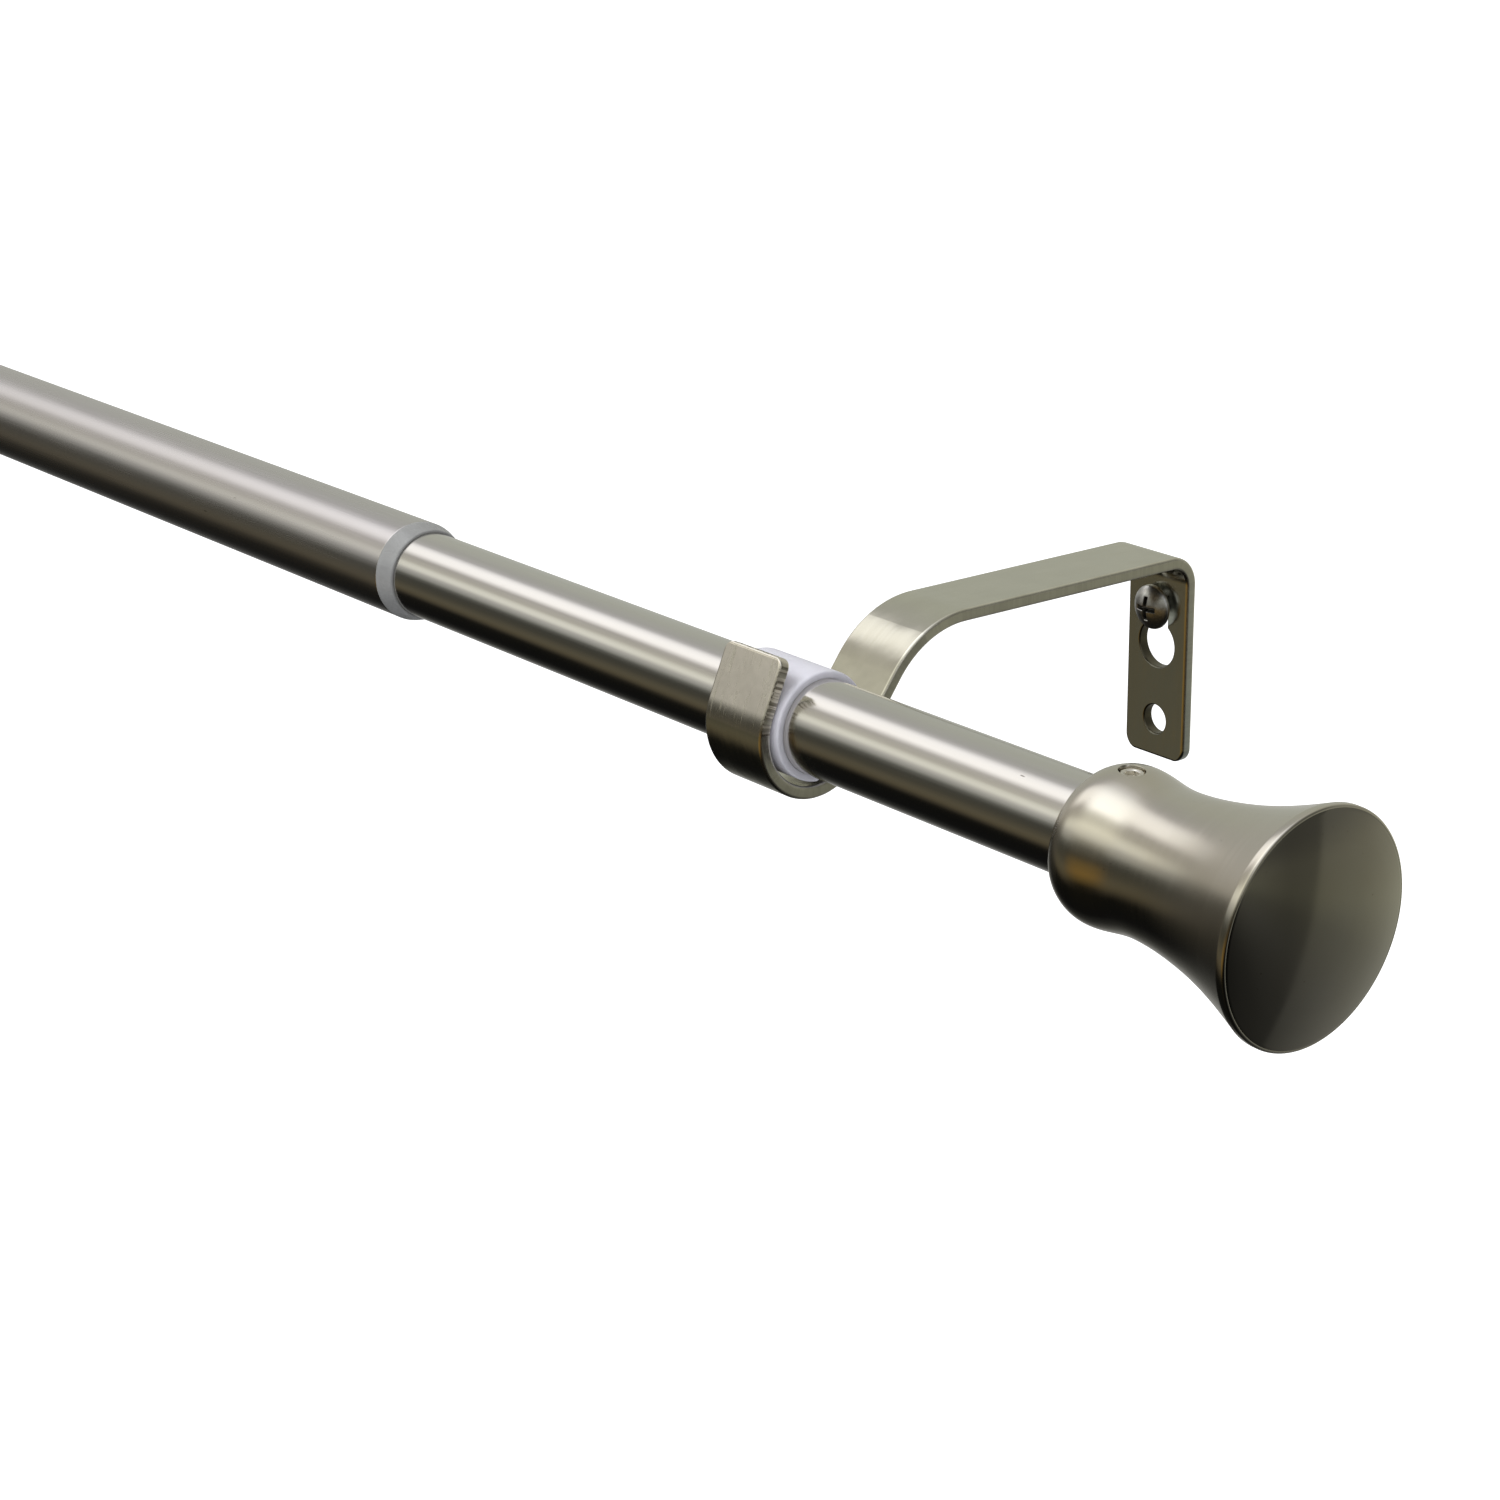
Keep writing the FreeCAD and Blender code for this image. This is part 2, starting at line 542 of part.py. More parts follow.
def set_screw(label, inner):
    """Headless set screw along the body's Z axis, with a cup point and a hexagon socket."""
    body = new_body(label)
    sk = attach(body, "Section_" + label, "XZ_Plane")
    # x is the distance from the screw's own axis, y the distance from the rod's axis
    z0, z1 = inner, inner + " + " + S + "grub_long"
    outline(sk, [("0", z0 + " + 0.35"), (S + "grub_rad - 0.9", z0), (S + "grub_rad - 0.45", z0), (S + "grub_rad", z0 + " + 0.45"),
                 (S + "grub_rad", z1 + " - 0.25"), (S + "grub_rad - 0.25", z1), ("0", z1)])
    f = body.newObject("PartDesign::Revolution", "Turned_" + label)
    f.Profile = sk
    f.ReferenceAxis = (sk, ["V_Axis"])
    f.Angle = 360.0
    DOC.recompute()
    volume = body.Shape.Volume
    hexa = attach(body, "Hexagon_" + label, "XY_Plane", z1)
    r = "(" + S + "grub_hex / 2 / cos(30 deg))"
    outline(hexa, [(r + " * cos(%d deg)" % a, r + " * sin(%d deg)" % a) for a in range(0, 360, 60)])
    pocket(body, hexa, "Socket_" + label, S + "grub_socket")
    cut_check(body, volume, "socket")
    return body


def wall_screw(label, x_expr, z_expr):
    """Pan head wood screw along Y, its head towards the room."""
    body = new_body(label)
    sk = attach(body, "Section_" + label, "XY_Plane")
    # x is the distance from the screw's axis, y runs to the wall; the wall is y = 0
    y0 = "-(" + S + "strip_thick + " + S + "wall_head_gap)"
    top = D["strip_thick"] + D["wall_head_gap"] + D["wall_head_high"]
    under = D["strip_thick"] + D["wall_head_gap"]
    r, rs = D["wall_head_rad"], D["wall_shank_rad"]
    end = D["wall_shank_long"] - under
    tip0 = end - D["wall_tip_long"]
    C = Sketcher.Constraint
    lip = 0.7
    # crown of the pan head: an arc from the top of its edge to its middle
    p_mid, p_edge = (0.0, -top), (r, -under - lip)
    ch = top - under - lip
    ball = (r * r + ch * ch) / (2 * ch)
    cy = -top + ball
    s0 = math.atan2(p_mid[1] - cy, p_mid[0])
    s1 = math.atan2(p_edge[1] - cy, p_edge[0])
    g0 = sk.addGeometry(Part.ArcOfCircle(Part.Circle(V(0, cy, 0), V(0, 0, 1), ball), s0, s1), False)
    line = [(r, -under - lip), (r, -under), (rs, -under), (rs, tip0), (0.25, end), (0, end), (0, -top)]
    ids = [sk.addGeometry(Part.LineSegment(V(a[0], a[1], 0), V(b[0], b[1], 0)), False) for a, b in zip(line, line[1:])]
    sk.addConstraint([C("Coincident", g0, 2, ids[0], 1), C("Coincident", g0, 1, ids[-1], 2), C("PointOnObject", g0, 3, -2)])
    sk.addConstraint([C("Coincident", a, 2, b, 1) for a, b in zip(ids, ids[1:])])
    sk.addConstraint([C("Vertical", ids[0]), C("Horizontal", ids[1]), C("Vertical", ids[2]), C("Horizontal", ids[4]),
                      C("PointOnObject", ids[4], 2, -2), C("Vertical", ids[5])])
    fix(sk, "DistanceX", (-1, 1, ids[0], 1), S + "wall_head_rad")
    fix(sk, "DistanceY", (ids[0], 2, -1, 1), S + "strip_thick + " + S + "wall_head_gap")
    fix(sk, "DistanceY", (ids[0], 1, ids[0], 2), 0.7)
    fix(sk, "DistanceX", (-1, 1, ids[2], 1), S + "wall_shank_rad")
    fix(sk, "DistanceY", (ids[2], 1, ids[4], 1), S + "wall_shank_long")
    fix(sk, "DistanceY", (ids[3], 1, ids[3], 2), S + "wall_tip_long")
    fix(sk, "DistanceX", (-1, 1, ids[4], 1), 0.25)
    fix(sk, "DistanceY", (ids[5], 2, ids[0], 2), S + "wall_head_high")
    f = body.newObject("PartDesign::Revolution", "Turned_" + label)
    f.Profile = sk
    f.ReferenceAxis = (sk, ["V_Axis"])
    f.Angle = 360.0
    DOC.recompute()
    volume = body.Shape.Volume
    # cross recess, cut from the head's crown towards the wall
    cr = attach(body, "Cross_" + label, "XZ_Plane", S + "strip_thick + " + S + "wall_head_gap + " + S + "wall_head_high")
    a, b = S + "cross_arm", S + "cross_wide / 2"
    outline(cr, [(b, b), (b, a), ("-" + b, a), ("-" + b, b), ("-" + a, b), ("-" + a, "-" + b), ("-" + b, "-" + b),
                 ("-" + b, "-" + a), (b, "-" + a), (b, "-" + b), (a, "-" + b), (a, b)])
    f = pocket(body, cr, "Recess_" + label, S + "cross_deep")
    cut_check(body, volume, "cross recess")
    place(body, x_expr, None, z_expr)
    return body


# ---------------------------------------------------------------- build
bracket("right_bracket", "0")
bracket("left_bracket", "-" + S + "left_bracket_at", S + "left_bracket_up")
wall_screw("right_wall_screw", "0", S + "key_slot_at")
wall_screw("left_wall_screw", "-" + S + "left_bracket_at", S + "key_slot_at + " + S + "left_bracket_up")

tube("outer_tube", S + "outer_tube_rad", S + "outer_tube_bore", S + "outer_tube_long",
     "-" + S + "outer_tube_end - " + S + "outer_tube_long")
tube("inner_tube", S + "inner_tube_rad", S + "inner_tube_bore", S + "inner_tube_long",
     S + "inner_tube_end - " + S + "inner_tube_long")

# end ring of the outer tube: a flange as wide as the tube, sloping down to the inner tube,
# and a spigot inside it
ring = new_body("outer_tube_end_ring")
sk = attach(ring, "Section_ring", "XY_Plane")
outline(sk, [
    ("-" + S + "ring_spigot", S + "ring_bore"),
    (S + "ring_flange", S + "ring_bore"),
    (S + "ring_flange", S + "ring_nose"),
    (S + "ring_land", S + "ring_rad"),
    ("0", S + "ring_rad"),
    ("0", S + "outer_tube_bore"),
    ("-" + S + "ring_spigot", S + "outer_tube_bore"),
])
turned = revolve(ring, sk, "Turned_ring")
DOC.recompute()
shoulder = [
    "Edge%d" % (i + 1)
    for i, e in enumerate(ring.Shape.Edges)
    if len(e.Vertexes) == 1 and abs(e.Vertexes[0].Point.x - D["ring_land"]) < 1e-6
    and abs(math.hypot(e.Vertexes[0].Point.y, e.Vertexes[0].Point.z) - D["ring_rad"]) < 1e-6
]
fillet = ring.newObject("PartDesign::Fillet", "Shoulder_ring")
fillet.Base = (turned, shoulder)
fillet.setExpression("Radius", S + "ring_round")
DOC.recompute()
place(ring, "-" + S + "outer_tube_end", "-" + S + "rod_to_wall")

# guide bush on the hidden end of the inner tube
bush = new_body("inner_tube_guide")
sk = attach(bush, "Section_bush", "XY_Plane")
outline(sk, [
    ("-" + S + "bush_long", S + "bush_bore"),
    (S + "bush_spigot", S + "bush_bore"),
    (S + "bush_spigot", S + "inner_tube_bore"),
    ("0", S + "inner_tube_bore"),
    ("0", S + "bush_rad"),
    ("-" + S + "bush_long + 0.6", S + "bush_rad"),
    ("-" + S + "bush_long", S + "bush_rad - 0.6"),
])
revolve(bush, sk, "Turned_bush")
DOC.recompute()
place(bush, S + "inner_tube_end - " + S + "inner_tube_long", "-" + S + "rod_to_wall")

split_sleeve("bracket_sleeve", S + "sleeve_rad", S + "sleeve_bore", S + "sleeve_long", S + "sleeve_edge", "0")

# The two finials are the same part. The left one is turned half a turn about the vertical and
# is a close fit on the outer tube. The right one hangs in its slack on the thinner inner tube,
# so its axis droops from the mouth outwards.
left_mouth = "-(" + S + "outer_tube_end + " + S + "outer_tube_long - " + S + "inner_tube_end + " + S + "finial_at)"
droop = math.radians(D["finial_droop"])
for side in ("right", "left"):
    pieces = [finial(side + "_finial_body"), cap(side + "_finial_cap")]
    screw = set_screw(side + "_set_screw", S + ("grub_in" if side == "right" else "grub_in_left"))
    for body in pieces:
        if side == "left":
            body.Placement = FreeCAD.Placement(V(0, 0, 0), FreeCAD.Rotation(V(0, 0, 1), 180))
            place(body, left_mouth, "-" + S + "rod_to_wall")
        else:
            body.Placement = FreeCAD.Placement(V(0, 0, 0), FreeCAD.Rotation(V(0, 1, 0), D["finial_droop"]))
            place(body, S + "finial_at", "-" + S + "rod_to_wall", "-" + S + "finial_sag")
    if side == "left":
        place(screw, left_mouth + " - " + S + "grub_at", "-" + S + "rod_to_wall")
    else:
        a = "(" + S + "finial_droop * 1 deg)"
        screw.Placement = FreeCAD.Placement(V(0, 0, 0), FreeCAD.Rotation(V(0, 1, 0), D["finial_droop"]))
        place(screw, S + "finial_at + " + S + "grub_at * cos" + a, "-" + S + "rod_to_wall",
              "-" + S + "finial_sag - " + S + "grub_at * sin" + a)

DOC.recompute()

# ---------------------------------------------------------------- check and write
for obj in DOC.Objects:
    bad = [s for s in obj.State if s in ("Invalid", "Error")]
    if bad:
        raise RuntimeError("%s is %s" % (obj.Label, bad))
for body in NODES:
    shape = body.Shape
    if shape.isNull() or not shape.isValid():
        raise RuntimeError("%s has no valid shape" % body.Label)
    if len(shape.Solids) != 1:
        raise RuntimeError("%s has %d solids" % (body.Label, len(shape.Solids)))
os.makedirs("parts", exist_ok=True)
for body in NODES:
    body.Shape.exportStep(os.path.join("parts", body.Label + ".step"))
    b = body.Shape.BoundBox
    print("%-22s %10.1f mm3  X %.2f..%.2f  Y %.2f..%.2f  Z %.2f..%.2f" % (
        body.Label, body.Shape.Volume, b.XMin, b.XMax, b.YMin, b.YMax, b.ZMin, b.ZMax))
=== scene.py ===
import math

import bpy
import bmesh
import numpy as np
from mathutils import Matrix, Vector


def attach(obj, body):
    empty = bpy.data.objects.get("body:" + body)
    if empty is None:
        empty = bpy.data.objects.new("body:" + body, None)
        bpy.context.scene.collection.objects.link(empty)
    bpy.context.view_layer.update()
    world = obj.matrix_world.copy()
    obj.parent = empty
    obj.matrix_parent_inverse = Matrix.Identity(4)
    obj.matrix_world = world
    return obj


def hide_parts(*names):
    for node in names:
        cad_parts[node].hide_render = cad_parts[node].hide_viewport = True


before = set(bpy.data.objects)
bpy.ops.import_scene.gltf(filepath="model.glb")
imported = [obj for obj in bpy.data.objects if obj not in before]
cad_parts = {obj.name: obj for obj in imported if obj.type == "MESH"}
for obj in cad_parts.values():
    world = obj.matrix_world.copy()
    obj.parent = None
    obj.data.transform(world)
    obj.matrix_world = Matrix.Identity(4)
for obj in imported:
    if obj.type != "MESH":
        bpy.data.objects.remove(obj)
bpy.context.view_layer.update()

MM = 0.001
PI = math.pi
ROD_Y = -88.4  # the rod's axis in front of the wall, mm

# ------------------------------------------------------------------ mesh helpers


def soften(pts, radii, seg=5, loop=True):
    """Corners of an outline turned into arcs."""
    out, n = [], len(pts)
    for i, (p, r) in enumerate(zip(pts, radii)):
        if r <= 0 or (not loop and i in (0, n - 1)):
            out.append(tuple(p))
            continue
        p = Vector(p)
        a = (Vector(pts[i - 1]) - p).normalized()
        b = (Vector(pts[(i + 1) % n]) - p).normalized()
        half = a.angle(b) / 2
        c = p + (a + b).normalized() * (r / math.sin(half))
        v0 = p + a * (r / math.tan(half)) - c
        v1 = p + b * (r / math.tan(half)) - c
        t0, t1 = math.atan2(v0.y, v0.x), math.atan2(v1.y, v1.x)
        dt = (t1 - t0 + PI) % (2 * PI) - PI
        for k in range(seg + 1):
            t = t0 + dt * k / seg
            out.append((c.x + r * math.cos(t), c.y + r * math.sin(t)))
    return out


def smooth_line(pts, steps):
    """Natural cubic spline through points, by chord length."""
    p = np.array(pts, float)
    t = np.r_[0, np.cumsum(np.hypot(*np.diff(p, axis=0).T))]
    h = np.diff(t)
    n = len(p)
    A = np.zeros((n, n))
    B = np.zeros((n, 2))
    A[0, 0] = A[-1, -1] = 1
    for i in range(1, n - 1):
        A[i, i - 1], A[i, i], A[i, i + 1] = h[i - 1], 2 * (h[i - 1] + h[i]), h[i]
        B[i] = 6 * ((p[i + 1] - p[i]) / h[i] - (p[i] - p[i - 1]) / h[i - 1])
    m = np.linalg.solve(A, B)
    out = []
    for i in range(n - 1):
        for k in range(steps[i]):
            x = h[i] * k / steps[i]
            a = (p[i + 1] - p[i]) / h[i] - h[i] * (2 * m[i] + m[i + 1]) / 6
            q = p[i] + a * x + m[i] * x * x / 2 + (m[i + 1] - m[i]) * x ** 3 / (6 * h[i])
            out.append((float(q[0]), float(q[1])))
    out.append(tuple(float(v) for v in p[-1]))
    return out


def ring(n=128, extra=()):
    """Angles once round, 0 at the front (-Y) and 90 degrees at the top."""
    a = sorted(set([round(2 * PI * k / n, 9) for k in range(n)] + [round(e % (2 * PI), 9) for e in extra]))
    return a


def grid(rows, close_rows, close_cols):
    """Faces over a list of rows of vertex numbers."""
    faces = []
    R, C = len(rows), len(rows[0])
    for j in range(R if close_rows else R - 1):
        k = (j + 1) % R
        for i in range(C if close_cols else C - 1):
            l = (i + 1) % C
            faces.append((rows[j][i], rows[j][l], rows[k][l], rows[k][i]))
    return faces


def to_object(name, verts, faces, sharp=32.0):
    me = bpy.data.meshes.new(name)
    me.from_pydata([tuple(c * MM for c in v) for v in verts], [], faces)
    bm = bmesh.new()
    bm.from_mesh(me)
    bmesh.ops.remove_doubles(bm, verts=bm.verts, dist=2e-6)
    bmesh.ops.dissolve_degenerate(bm, edges=bm.edges, dist=1e-7)
    bmesh.ops.recalc_face_normals(bm, faces=bm.faces)
    bm.to_mesh(me)
    bm.free()
    ob = bpy.data.objects.new(name, me)
    bpy.context.scene.collection.objects.link(ob)
    ob["sharp"] = sharp
    return ob


def settle(ob, at):
    """Moves a turned piece to its place, and keeps its own lathe position on every point for the finish."""
    me = ob.data
    lathe = me.attributes.new("lathe", "FLOAT_VECTOR", "POINT")
    co = np.zeros(len(me.vertices) * 3, np.float32)
    me.vertices.foreach_get("co", co)
    lathe.data.foreach_set("vector", co)
    me.transform(at)
    me.update()


def polish(ob):
    """Smooth shading with crisp flats."""
    me = ob.data
    me.polygons.foreach_set("use_smooth", [True] * len(me.polygons))
    me.set_sharp_from_angle(angle=math.radians(ob["sharp"]))
    w = ob.modifiers.new("flats", "WEIGHTED_NORMAL")
    w.keep_sharp = True
    w.mode = "FACE_AREA_WITH_ANGLE"
    w.weight = 60
    me.update()


def turned(name, profile, angles, closed=True, radius=None, sharp=32.0):
    """A body of revolution about X. radius(u, r, a) may vary the radius round the axis."""
    verts, rows = [], []
    for a in angles:
        row = []
        for u, r in profile:
            q = radius(u, r, a) if radius else r
            row.append(len(verts))
            verts.append((u, -q * math.cos(a), q * math.sin(a)))
        rows.append(row)
    return to_object(name, verts, grid(rows, True, closed), sharp)


def carve(ob, cutters):
    for c in cutters:
        m = ob.modifiers.new("cut", "BOOLEAN")
        m.operation = "DIFFERENCE"
        m.solver = "EXACT"
        m.object = c
    bpy.context.view_layer.update()
    dg = bpy.context.evaluated_depsgraph_get()
    me = bpy.data.meshes.new_from_object(ob.evaluated_get(dg))
    ob.modifiers.clear()
    old = ob.data
    ob.data = me
    me.name = ob.name
    bpy.data.meshes.remove(old)
    for c in cutters:
        d = c.data
        bpy.data.objects.remove(c)
        bpy.data.meshes.remove(d)
    bm = bmesh.new()
    bm.from_mesh(me)
    bmesh.ops.remove_doubles(bm, verts=bm.verts, dist=1e-6)
    bmesh.ops.dissolve_degenerate(bm, edges=bm.edges, dist=1e-7)
    bm.to_mesh(me)
    bm.free()
    return ob


def axis_at(x, y=ROD_Y, z=0.0, turn=0.0, tilt=0.0):
    """Place for a piece built about the X axis: tilt about Y, turn about Z, then its point."""
    return Matrix.Translation((x * MM, y * MM, z * MM)) @ Matrix.Rotation(turn, 4, "Z") @ Matrix.Rotation(tilt, 4, "Y")


# ------------------------------------------------------------------ node helpers


class Mat:
    """A Principled material with a few helpers for its procedural parts."""

    def __init__(self, name):
        self.m = bpy.data.materials.new(name)
        self.m.use_nodes = True
        self.t = self.m.node_tree
        self.t.nodes.clear()
        self.out = self.add("ShaderNodeOutputMaterial")
        self.b = self.add("ShaderNodeBsdfPrincipled")
        self.t.links.new(self.b.outputs[0], self.out.inputs["Surface"])

    def add(self, kind, **props):
        n = self.t.nodes.new(kind)
        for k, v in props.items():
            setattr(n, k, v)
        return n

    def link(self, a, b):
        self.t.links.new(a, b)

    def put(self, **values):
        for k, v in values.items():
            self.b.inputs[k.replace("_", " ")].default_value = v

    def coords(self, scale, turn=(0, 0, 0), attr=None):
        src = self.add("ShaderNodeAttribute", attribute_name=attr) if attr else self.add("ShaderNodeTexCoord")
        mp = self.add("ShaderNodeMapping")
        mp.inputs["Scale"].default_value = scale
        mp.inputs["Rotation"].default_value = turn
        self.link(src.outputs["Vector" if attr else "Object"], mp.inputs["Vector"])
        return mp.outputs[0]

    def noise(self, vector, scale=1.0, detail=2.0, rough=0.5, distort=0.0):
        n = self.add("ShaderNodeTexNoise")
        n.inputs["Scale"].default_value = scale
        n.inputs["Detail"].default_value = detail
        n.inputs["Roughness"].default_value = rough
        n.inputs["Distortion"].default_value = distort
        self.link(vector, n.inputs["Vector"])
        return n.outputs["Fac"]

    def ranged(self, value, a, b, c, d):
        n = self.add("ShaderNodeMapRange")
        for i, v in enumerate((a, b, c, d)):
            n.inputs[i + 1].default_value = v
        self.link(value, n.inputs[0])
        return n.outputs[0]

    def math(self, op, a, b=None, clamp=False):
        n = self.add("ShaderNodeMath", operation=op, use_clamp=clamp)
        for i, v in enumerate((a, b)):
            if v is None:
                continue
            if isinstance(v, (int, float)):
                n.inputs[i].default_value = v
            else:
                self.link(v, n.inputs[i])
        return n.outputs[0]

    def blend(self, fac, a, b):
        """Colour a to colour b."""
        n = self.add("ShaderNodeMix", data_type="RGBA")
        if isinstance(fac, (int, float)):
            n.inputs[0].default_value = fac
        else:
            self.link(fac, n.inputs[0])
        for i, v in ((6, a), (7, b)):
            if isinstance(v, tuple):
                n.inputs[i].default_value = (*v, 1)
            else:
                self.link(v, n.inputs[i])
        return n.outputs[2]

    def attr(self, name):
        return self.add("ShaderNodeAttribute", attribute_name=name).outputs["Fac"]

    def bump(self, height, distance, strength=1.0, after=None):
        n = self.add("ShaderNodeBump")
        n.inputs["Strength"].default_value = strength
        n.inputs["Distance"].default_value = distance
        self.link(height, n.inputs["Height"])
        if after is not None:
            self.link(after, n.inputs["Normal"])
        return n.outputs[0]

    def tangent(self, axis):
        n = self.add("ShaderNodeTangent", direction_type="RADIAL", axis=axis)
        self.link(n.outputs[0], self.b.inputs["Tangent"])

    def color(self, c):
        self.link(c, self.b.inputs["Base Color"])

    def rough(self, c):
        self.link(c, self.b.inputs["Roughness"])

    def normal(self, c):
        self.link(c, self.b.inputs["Normal"])


def lift(c, k):
    return tuple(min(1.0, v * k) for v in c)


def satin_tube(name, base, low, high, fine, aniso, groove):
    """Nickel on steel tube, brushed lengthwise along X."""
    m = Mat(name)
    m.put(Metallic=1.0, Anisotropic=aniso)
    m.tangent("X")
    hair = m.noise(m.coords((45, fine, fine), attr="lathe"), 1.0, 3.0, 0.6)
    band = m.noise(m.coords((9, fine * 0.22, fine * 0.22), attr="lathe"), 1.0, 2.0, 0.5)
    cloud = m.noise(m.coords((14, 60, 60), attr="lathe"), 1.0, 3.0, 0.6)
    nick = m.noise(m.coords((260, 1500, 1500), attr="lathe"), 1.0, 1.0, 0.5)
    pit = m.ranged(nick, 0.80, 0.84, 0.0, 1.0)
    streak = m.math("ADD", m.math("MULTIPLY", hair, 0.6), m.math("MULTIPLY", band, 0.4))
    tone = m.ranged(streak, 0.3, 0.7, 0.0, 1.0)
    col = m.blend(tone, lift(base, 0.955), lift(base, 1.03))
    col = m.blend(m.ranged(cloud, 0.35, 0.75, 0.0, 0.35), col, tuple(c * k for c, k in zip(base, (0.95, 0.93, 0.88))))
    col = m.blend(pit, col, (0.16, 0.14, 0.12))
    m.color(col)
    r = m.ranged(streak, 0.3, 0.7, low, high)
    r = m.math("ADD", r, m.ranged(cloud, 0.3, 0.7, -0.015, 0.03))
    m.rough(r)
    m.normal(m.bump(streak, 0.00002, groove))
    return m.m


def satin_turned(name, base, low, high, aniso, lines, groove):
    """Nickel brushed round the X axis of the piece."""
    m = Mat(name)
    m.put(Metallic=1.0, Anisotropic=aniso)
    m.b.inputs["Anisotropic Rotation"].default_value = 0.25
    m.tangent("X")
    fine = m.noise(m.coords((lines, 30, 30), attr="lathe"), 1.0, 3.0, 0.6)
    wide = m.noise(m.coords((lines * 0.2, 14, 14), attr="lathe"), 1.0, 2.0, 0.5)
    cloud = m.noise(m.coords((70, 70, 70), attr="lathe"), 1.0, 3.0, 0.6)
    speck = m.ranged(m.noise(m.coords((1700, 1700, 1700), attr="lathe"), 1.0, 1.0, 0.5), 0.79, 0.83, 0.0, 1.0)
    streak = m.math("ADD", m.math("MULTIPLY", fine, 0.6), m.math("MULTIPLY", wide, 0.4))
    tone = m.ranged(streak, 0.3, 0.7, 0.0, 1.0)
    col = m.blend(tone, lift(base, 0.975), lift(base, 1.02))
    col = m.blend(m.ranged(cloud, 0.4, 0.75, 0.0, 0.4), col, tuple(c * k for c, k in zip(base, (0.96, 0.92, 0.84))))
    col = m.blend(speck, col, (0.2, 0.17, 0.13))
    m.color(col)
    r = m.ranged(streak, 0.3, 0.7, low, high)
    r = m.math("ADD", r, m.ranged(cloud, 0.3, 0.7, -0.02, 0.04))
    m.rough(r)
    m.normal(m.bump(streak, 0.000022, groove))
    return m.m


def plated_strip(name, base):
    """Nickel plate over bent steel strip: soft grain along the strip, rolled edges with a painted highlight, sheared
    sides painted brighter as a highlight, a tip painted lighter as a highlight and hole walls painted dark as shade.
    """
    m = Mat(name)
    m.put(Metallic=1.0)
    # strip carries across, along and through-thickness positions in metres
    grain = m.noise(m.coords((1500, 55, 900), attr="strip"), 1.0, 3.0, 0.55)
    mottle = m.noise(m.coords((150, 150, 150)), 1.0, 4.0, 0.55)
    wave = m.noise(m.coords((260, 150, 260), attr="strip"), 1.0, 2.0, 0.5)
    shear = m.noise(m.coords((900, 1500, 1300), attr="strip"), 1.0, 3.0, 0.6)
    side = m.attr("side")
    edge = m.attr("edge")
    tip = m.attr("tip")
    bore = m.attr("bore")
    # handling marks: long thin scratches on the tip and few elsewhere
    s1 = m.noise(m.coords((1500, 70, 300), (0, 0, 0.12), attr="strip"), 1.0, 4.0, 0.75, 0.4)
    s2 = m.noise(m.coords((1300, 260, 300), (0, 0, -0.5), attr="strip"), 1.0, 3.0, 0.7, 0.2)
    scratch = m.math("MAXIMUM", m.ranged(s1, 0.575, 0.66, 0.0, 1.0), m.ranged(s2, 0.61, 0.70, 0.0, 0.8))
    scratch = m.math("MULTIPLY", scratch, m.ranged(tip, 0.0, 1.0, 0.04, 1.0))
    col = m.blend(m.ranged(mottle, 0.3, 0.7, 0.0, 1.0), lift(base, 0.96), lift(base, 1.03))
    col = m.blend(m.ranged(grain, 0.35, 0.65, 0.0, 0.2), col, tuple(c * k for c, k in zip(base, (0.95, 0.93, 0.87))))
    # painted highlight: the sheared side faces are painted brighter, standing in for the light they catch
    col = m.blend(m.math("MULTIPLY", side, 0.8), col, lift(base, 1.28))
    plate = m.attr("plate")
    col = m.blend(m.math("MULTIPLY", plate, 0.85), col, (base[0] * 0.97, base[1] * 1.06, base[2] * 1.22))
    # painted highlight: the tip is painted lighter and pinker, standing in for the bright reflection on its flat facet
    col = m.blend(m.math("MULTIPLY", tip, 0.9), col, (0.82, 0.765, 0.675))
    # painted highlight: the rolled edges are painted lighter in patches along their roundings
    painted_edge_highlight = m.math("MULTIPLY", edge, m.ranged(mottle, 0.35, 0.6, 0.3, 1.0))
    col = m.blend(painted_edge_highlight, col, lift((base[0], base[1], base[2] * 1.03), 1.25))
    torn = m.math("MULTIPLY", m.math("MULTIPLY", side, m.ranged(tip, 0.0, 1.0, 0.08, 1.0)), m.ranged(shear, 0.47, 0.53, 0.0, 1.0))
    col = m.blend(m.math("MULTIPLY", torn, 0.8), col, (0.10, 0.085, 0.055))
    # painted shade: the walls of the screw holes are painted near-black
    col = m.blend(m.math("MULTIPLY", bore, 0.95), col, (0.13, 0.115, 0.075))
    col = m.blend(m.math("MULTIPLY", scratch, 0.7), col, lift(base, 1.22))
    m.color(col)
    r = m.ranged(mottle, 0.3, 0.7, 0.15, 0.22)
    r = m.math("ADD", r, m.math("MULTIPLY", m.math("ADD", side, bore), 0.16))
    r = m.math("ADD", r, m.math("MULTIPLY", scratch, 0.20))
    m.rough(m.math("ADD", r, m.ranged(grain, 0.35, 0.65, -0.015, 0.02)))
    n = m.bump(wave, 0.00035, 0.22)
    n = m.bump(m.math("MULTIPLY", m.noise(m.coords((125, 80, 110), (0, 0, 0.3), attr="strip"), 1.0, 1.0, 0.4), m.attr("bend")), 0.0016, 0.40, n)
    n = m.bump(grain, 0.00002, 0.10, n)
    n = m.bump(m.math("MULTIPLY", shear, m.math("MULTIPLY", side, tip)), 0.00012, 0.6, n)
    n = m.bump(m.math("MULTIPLY", scratch, -1.0), 0.00003, 0.3, n)
    m.normal(n)
    return m.m


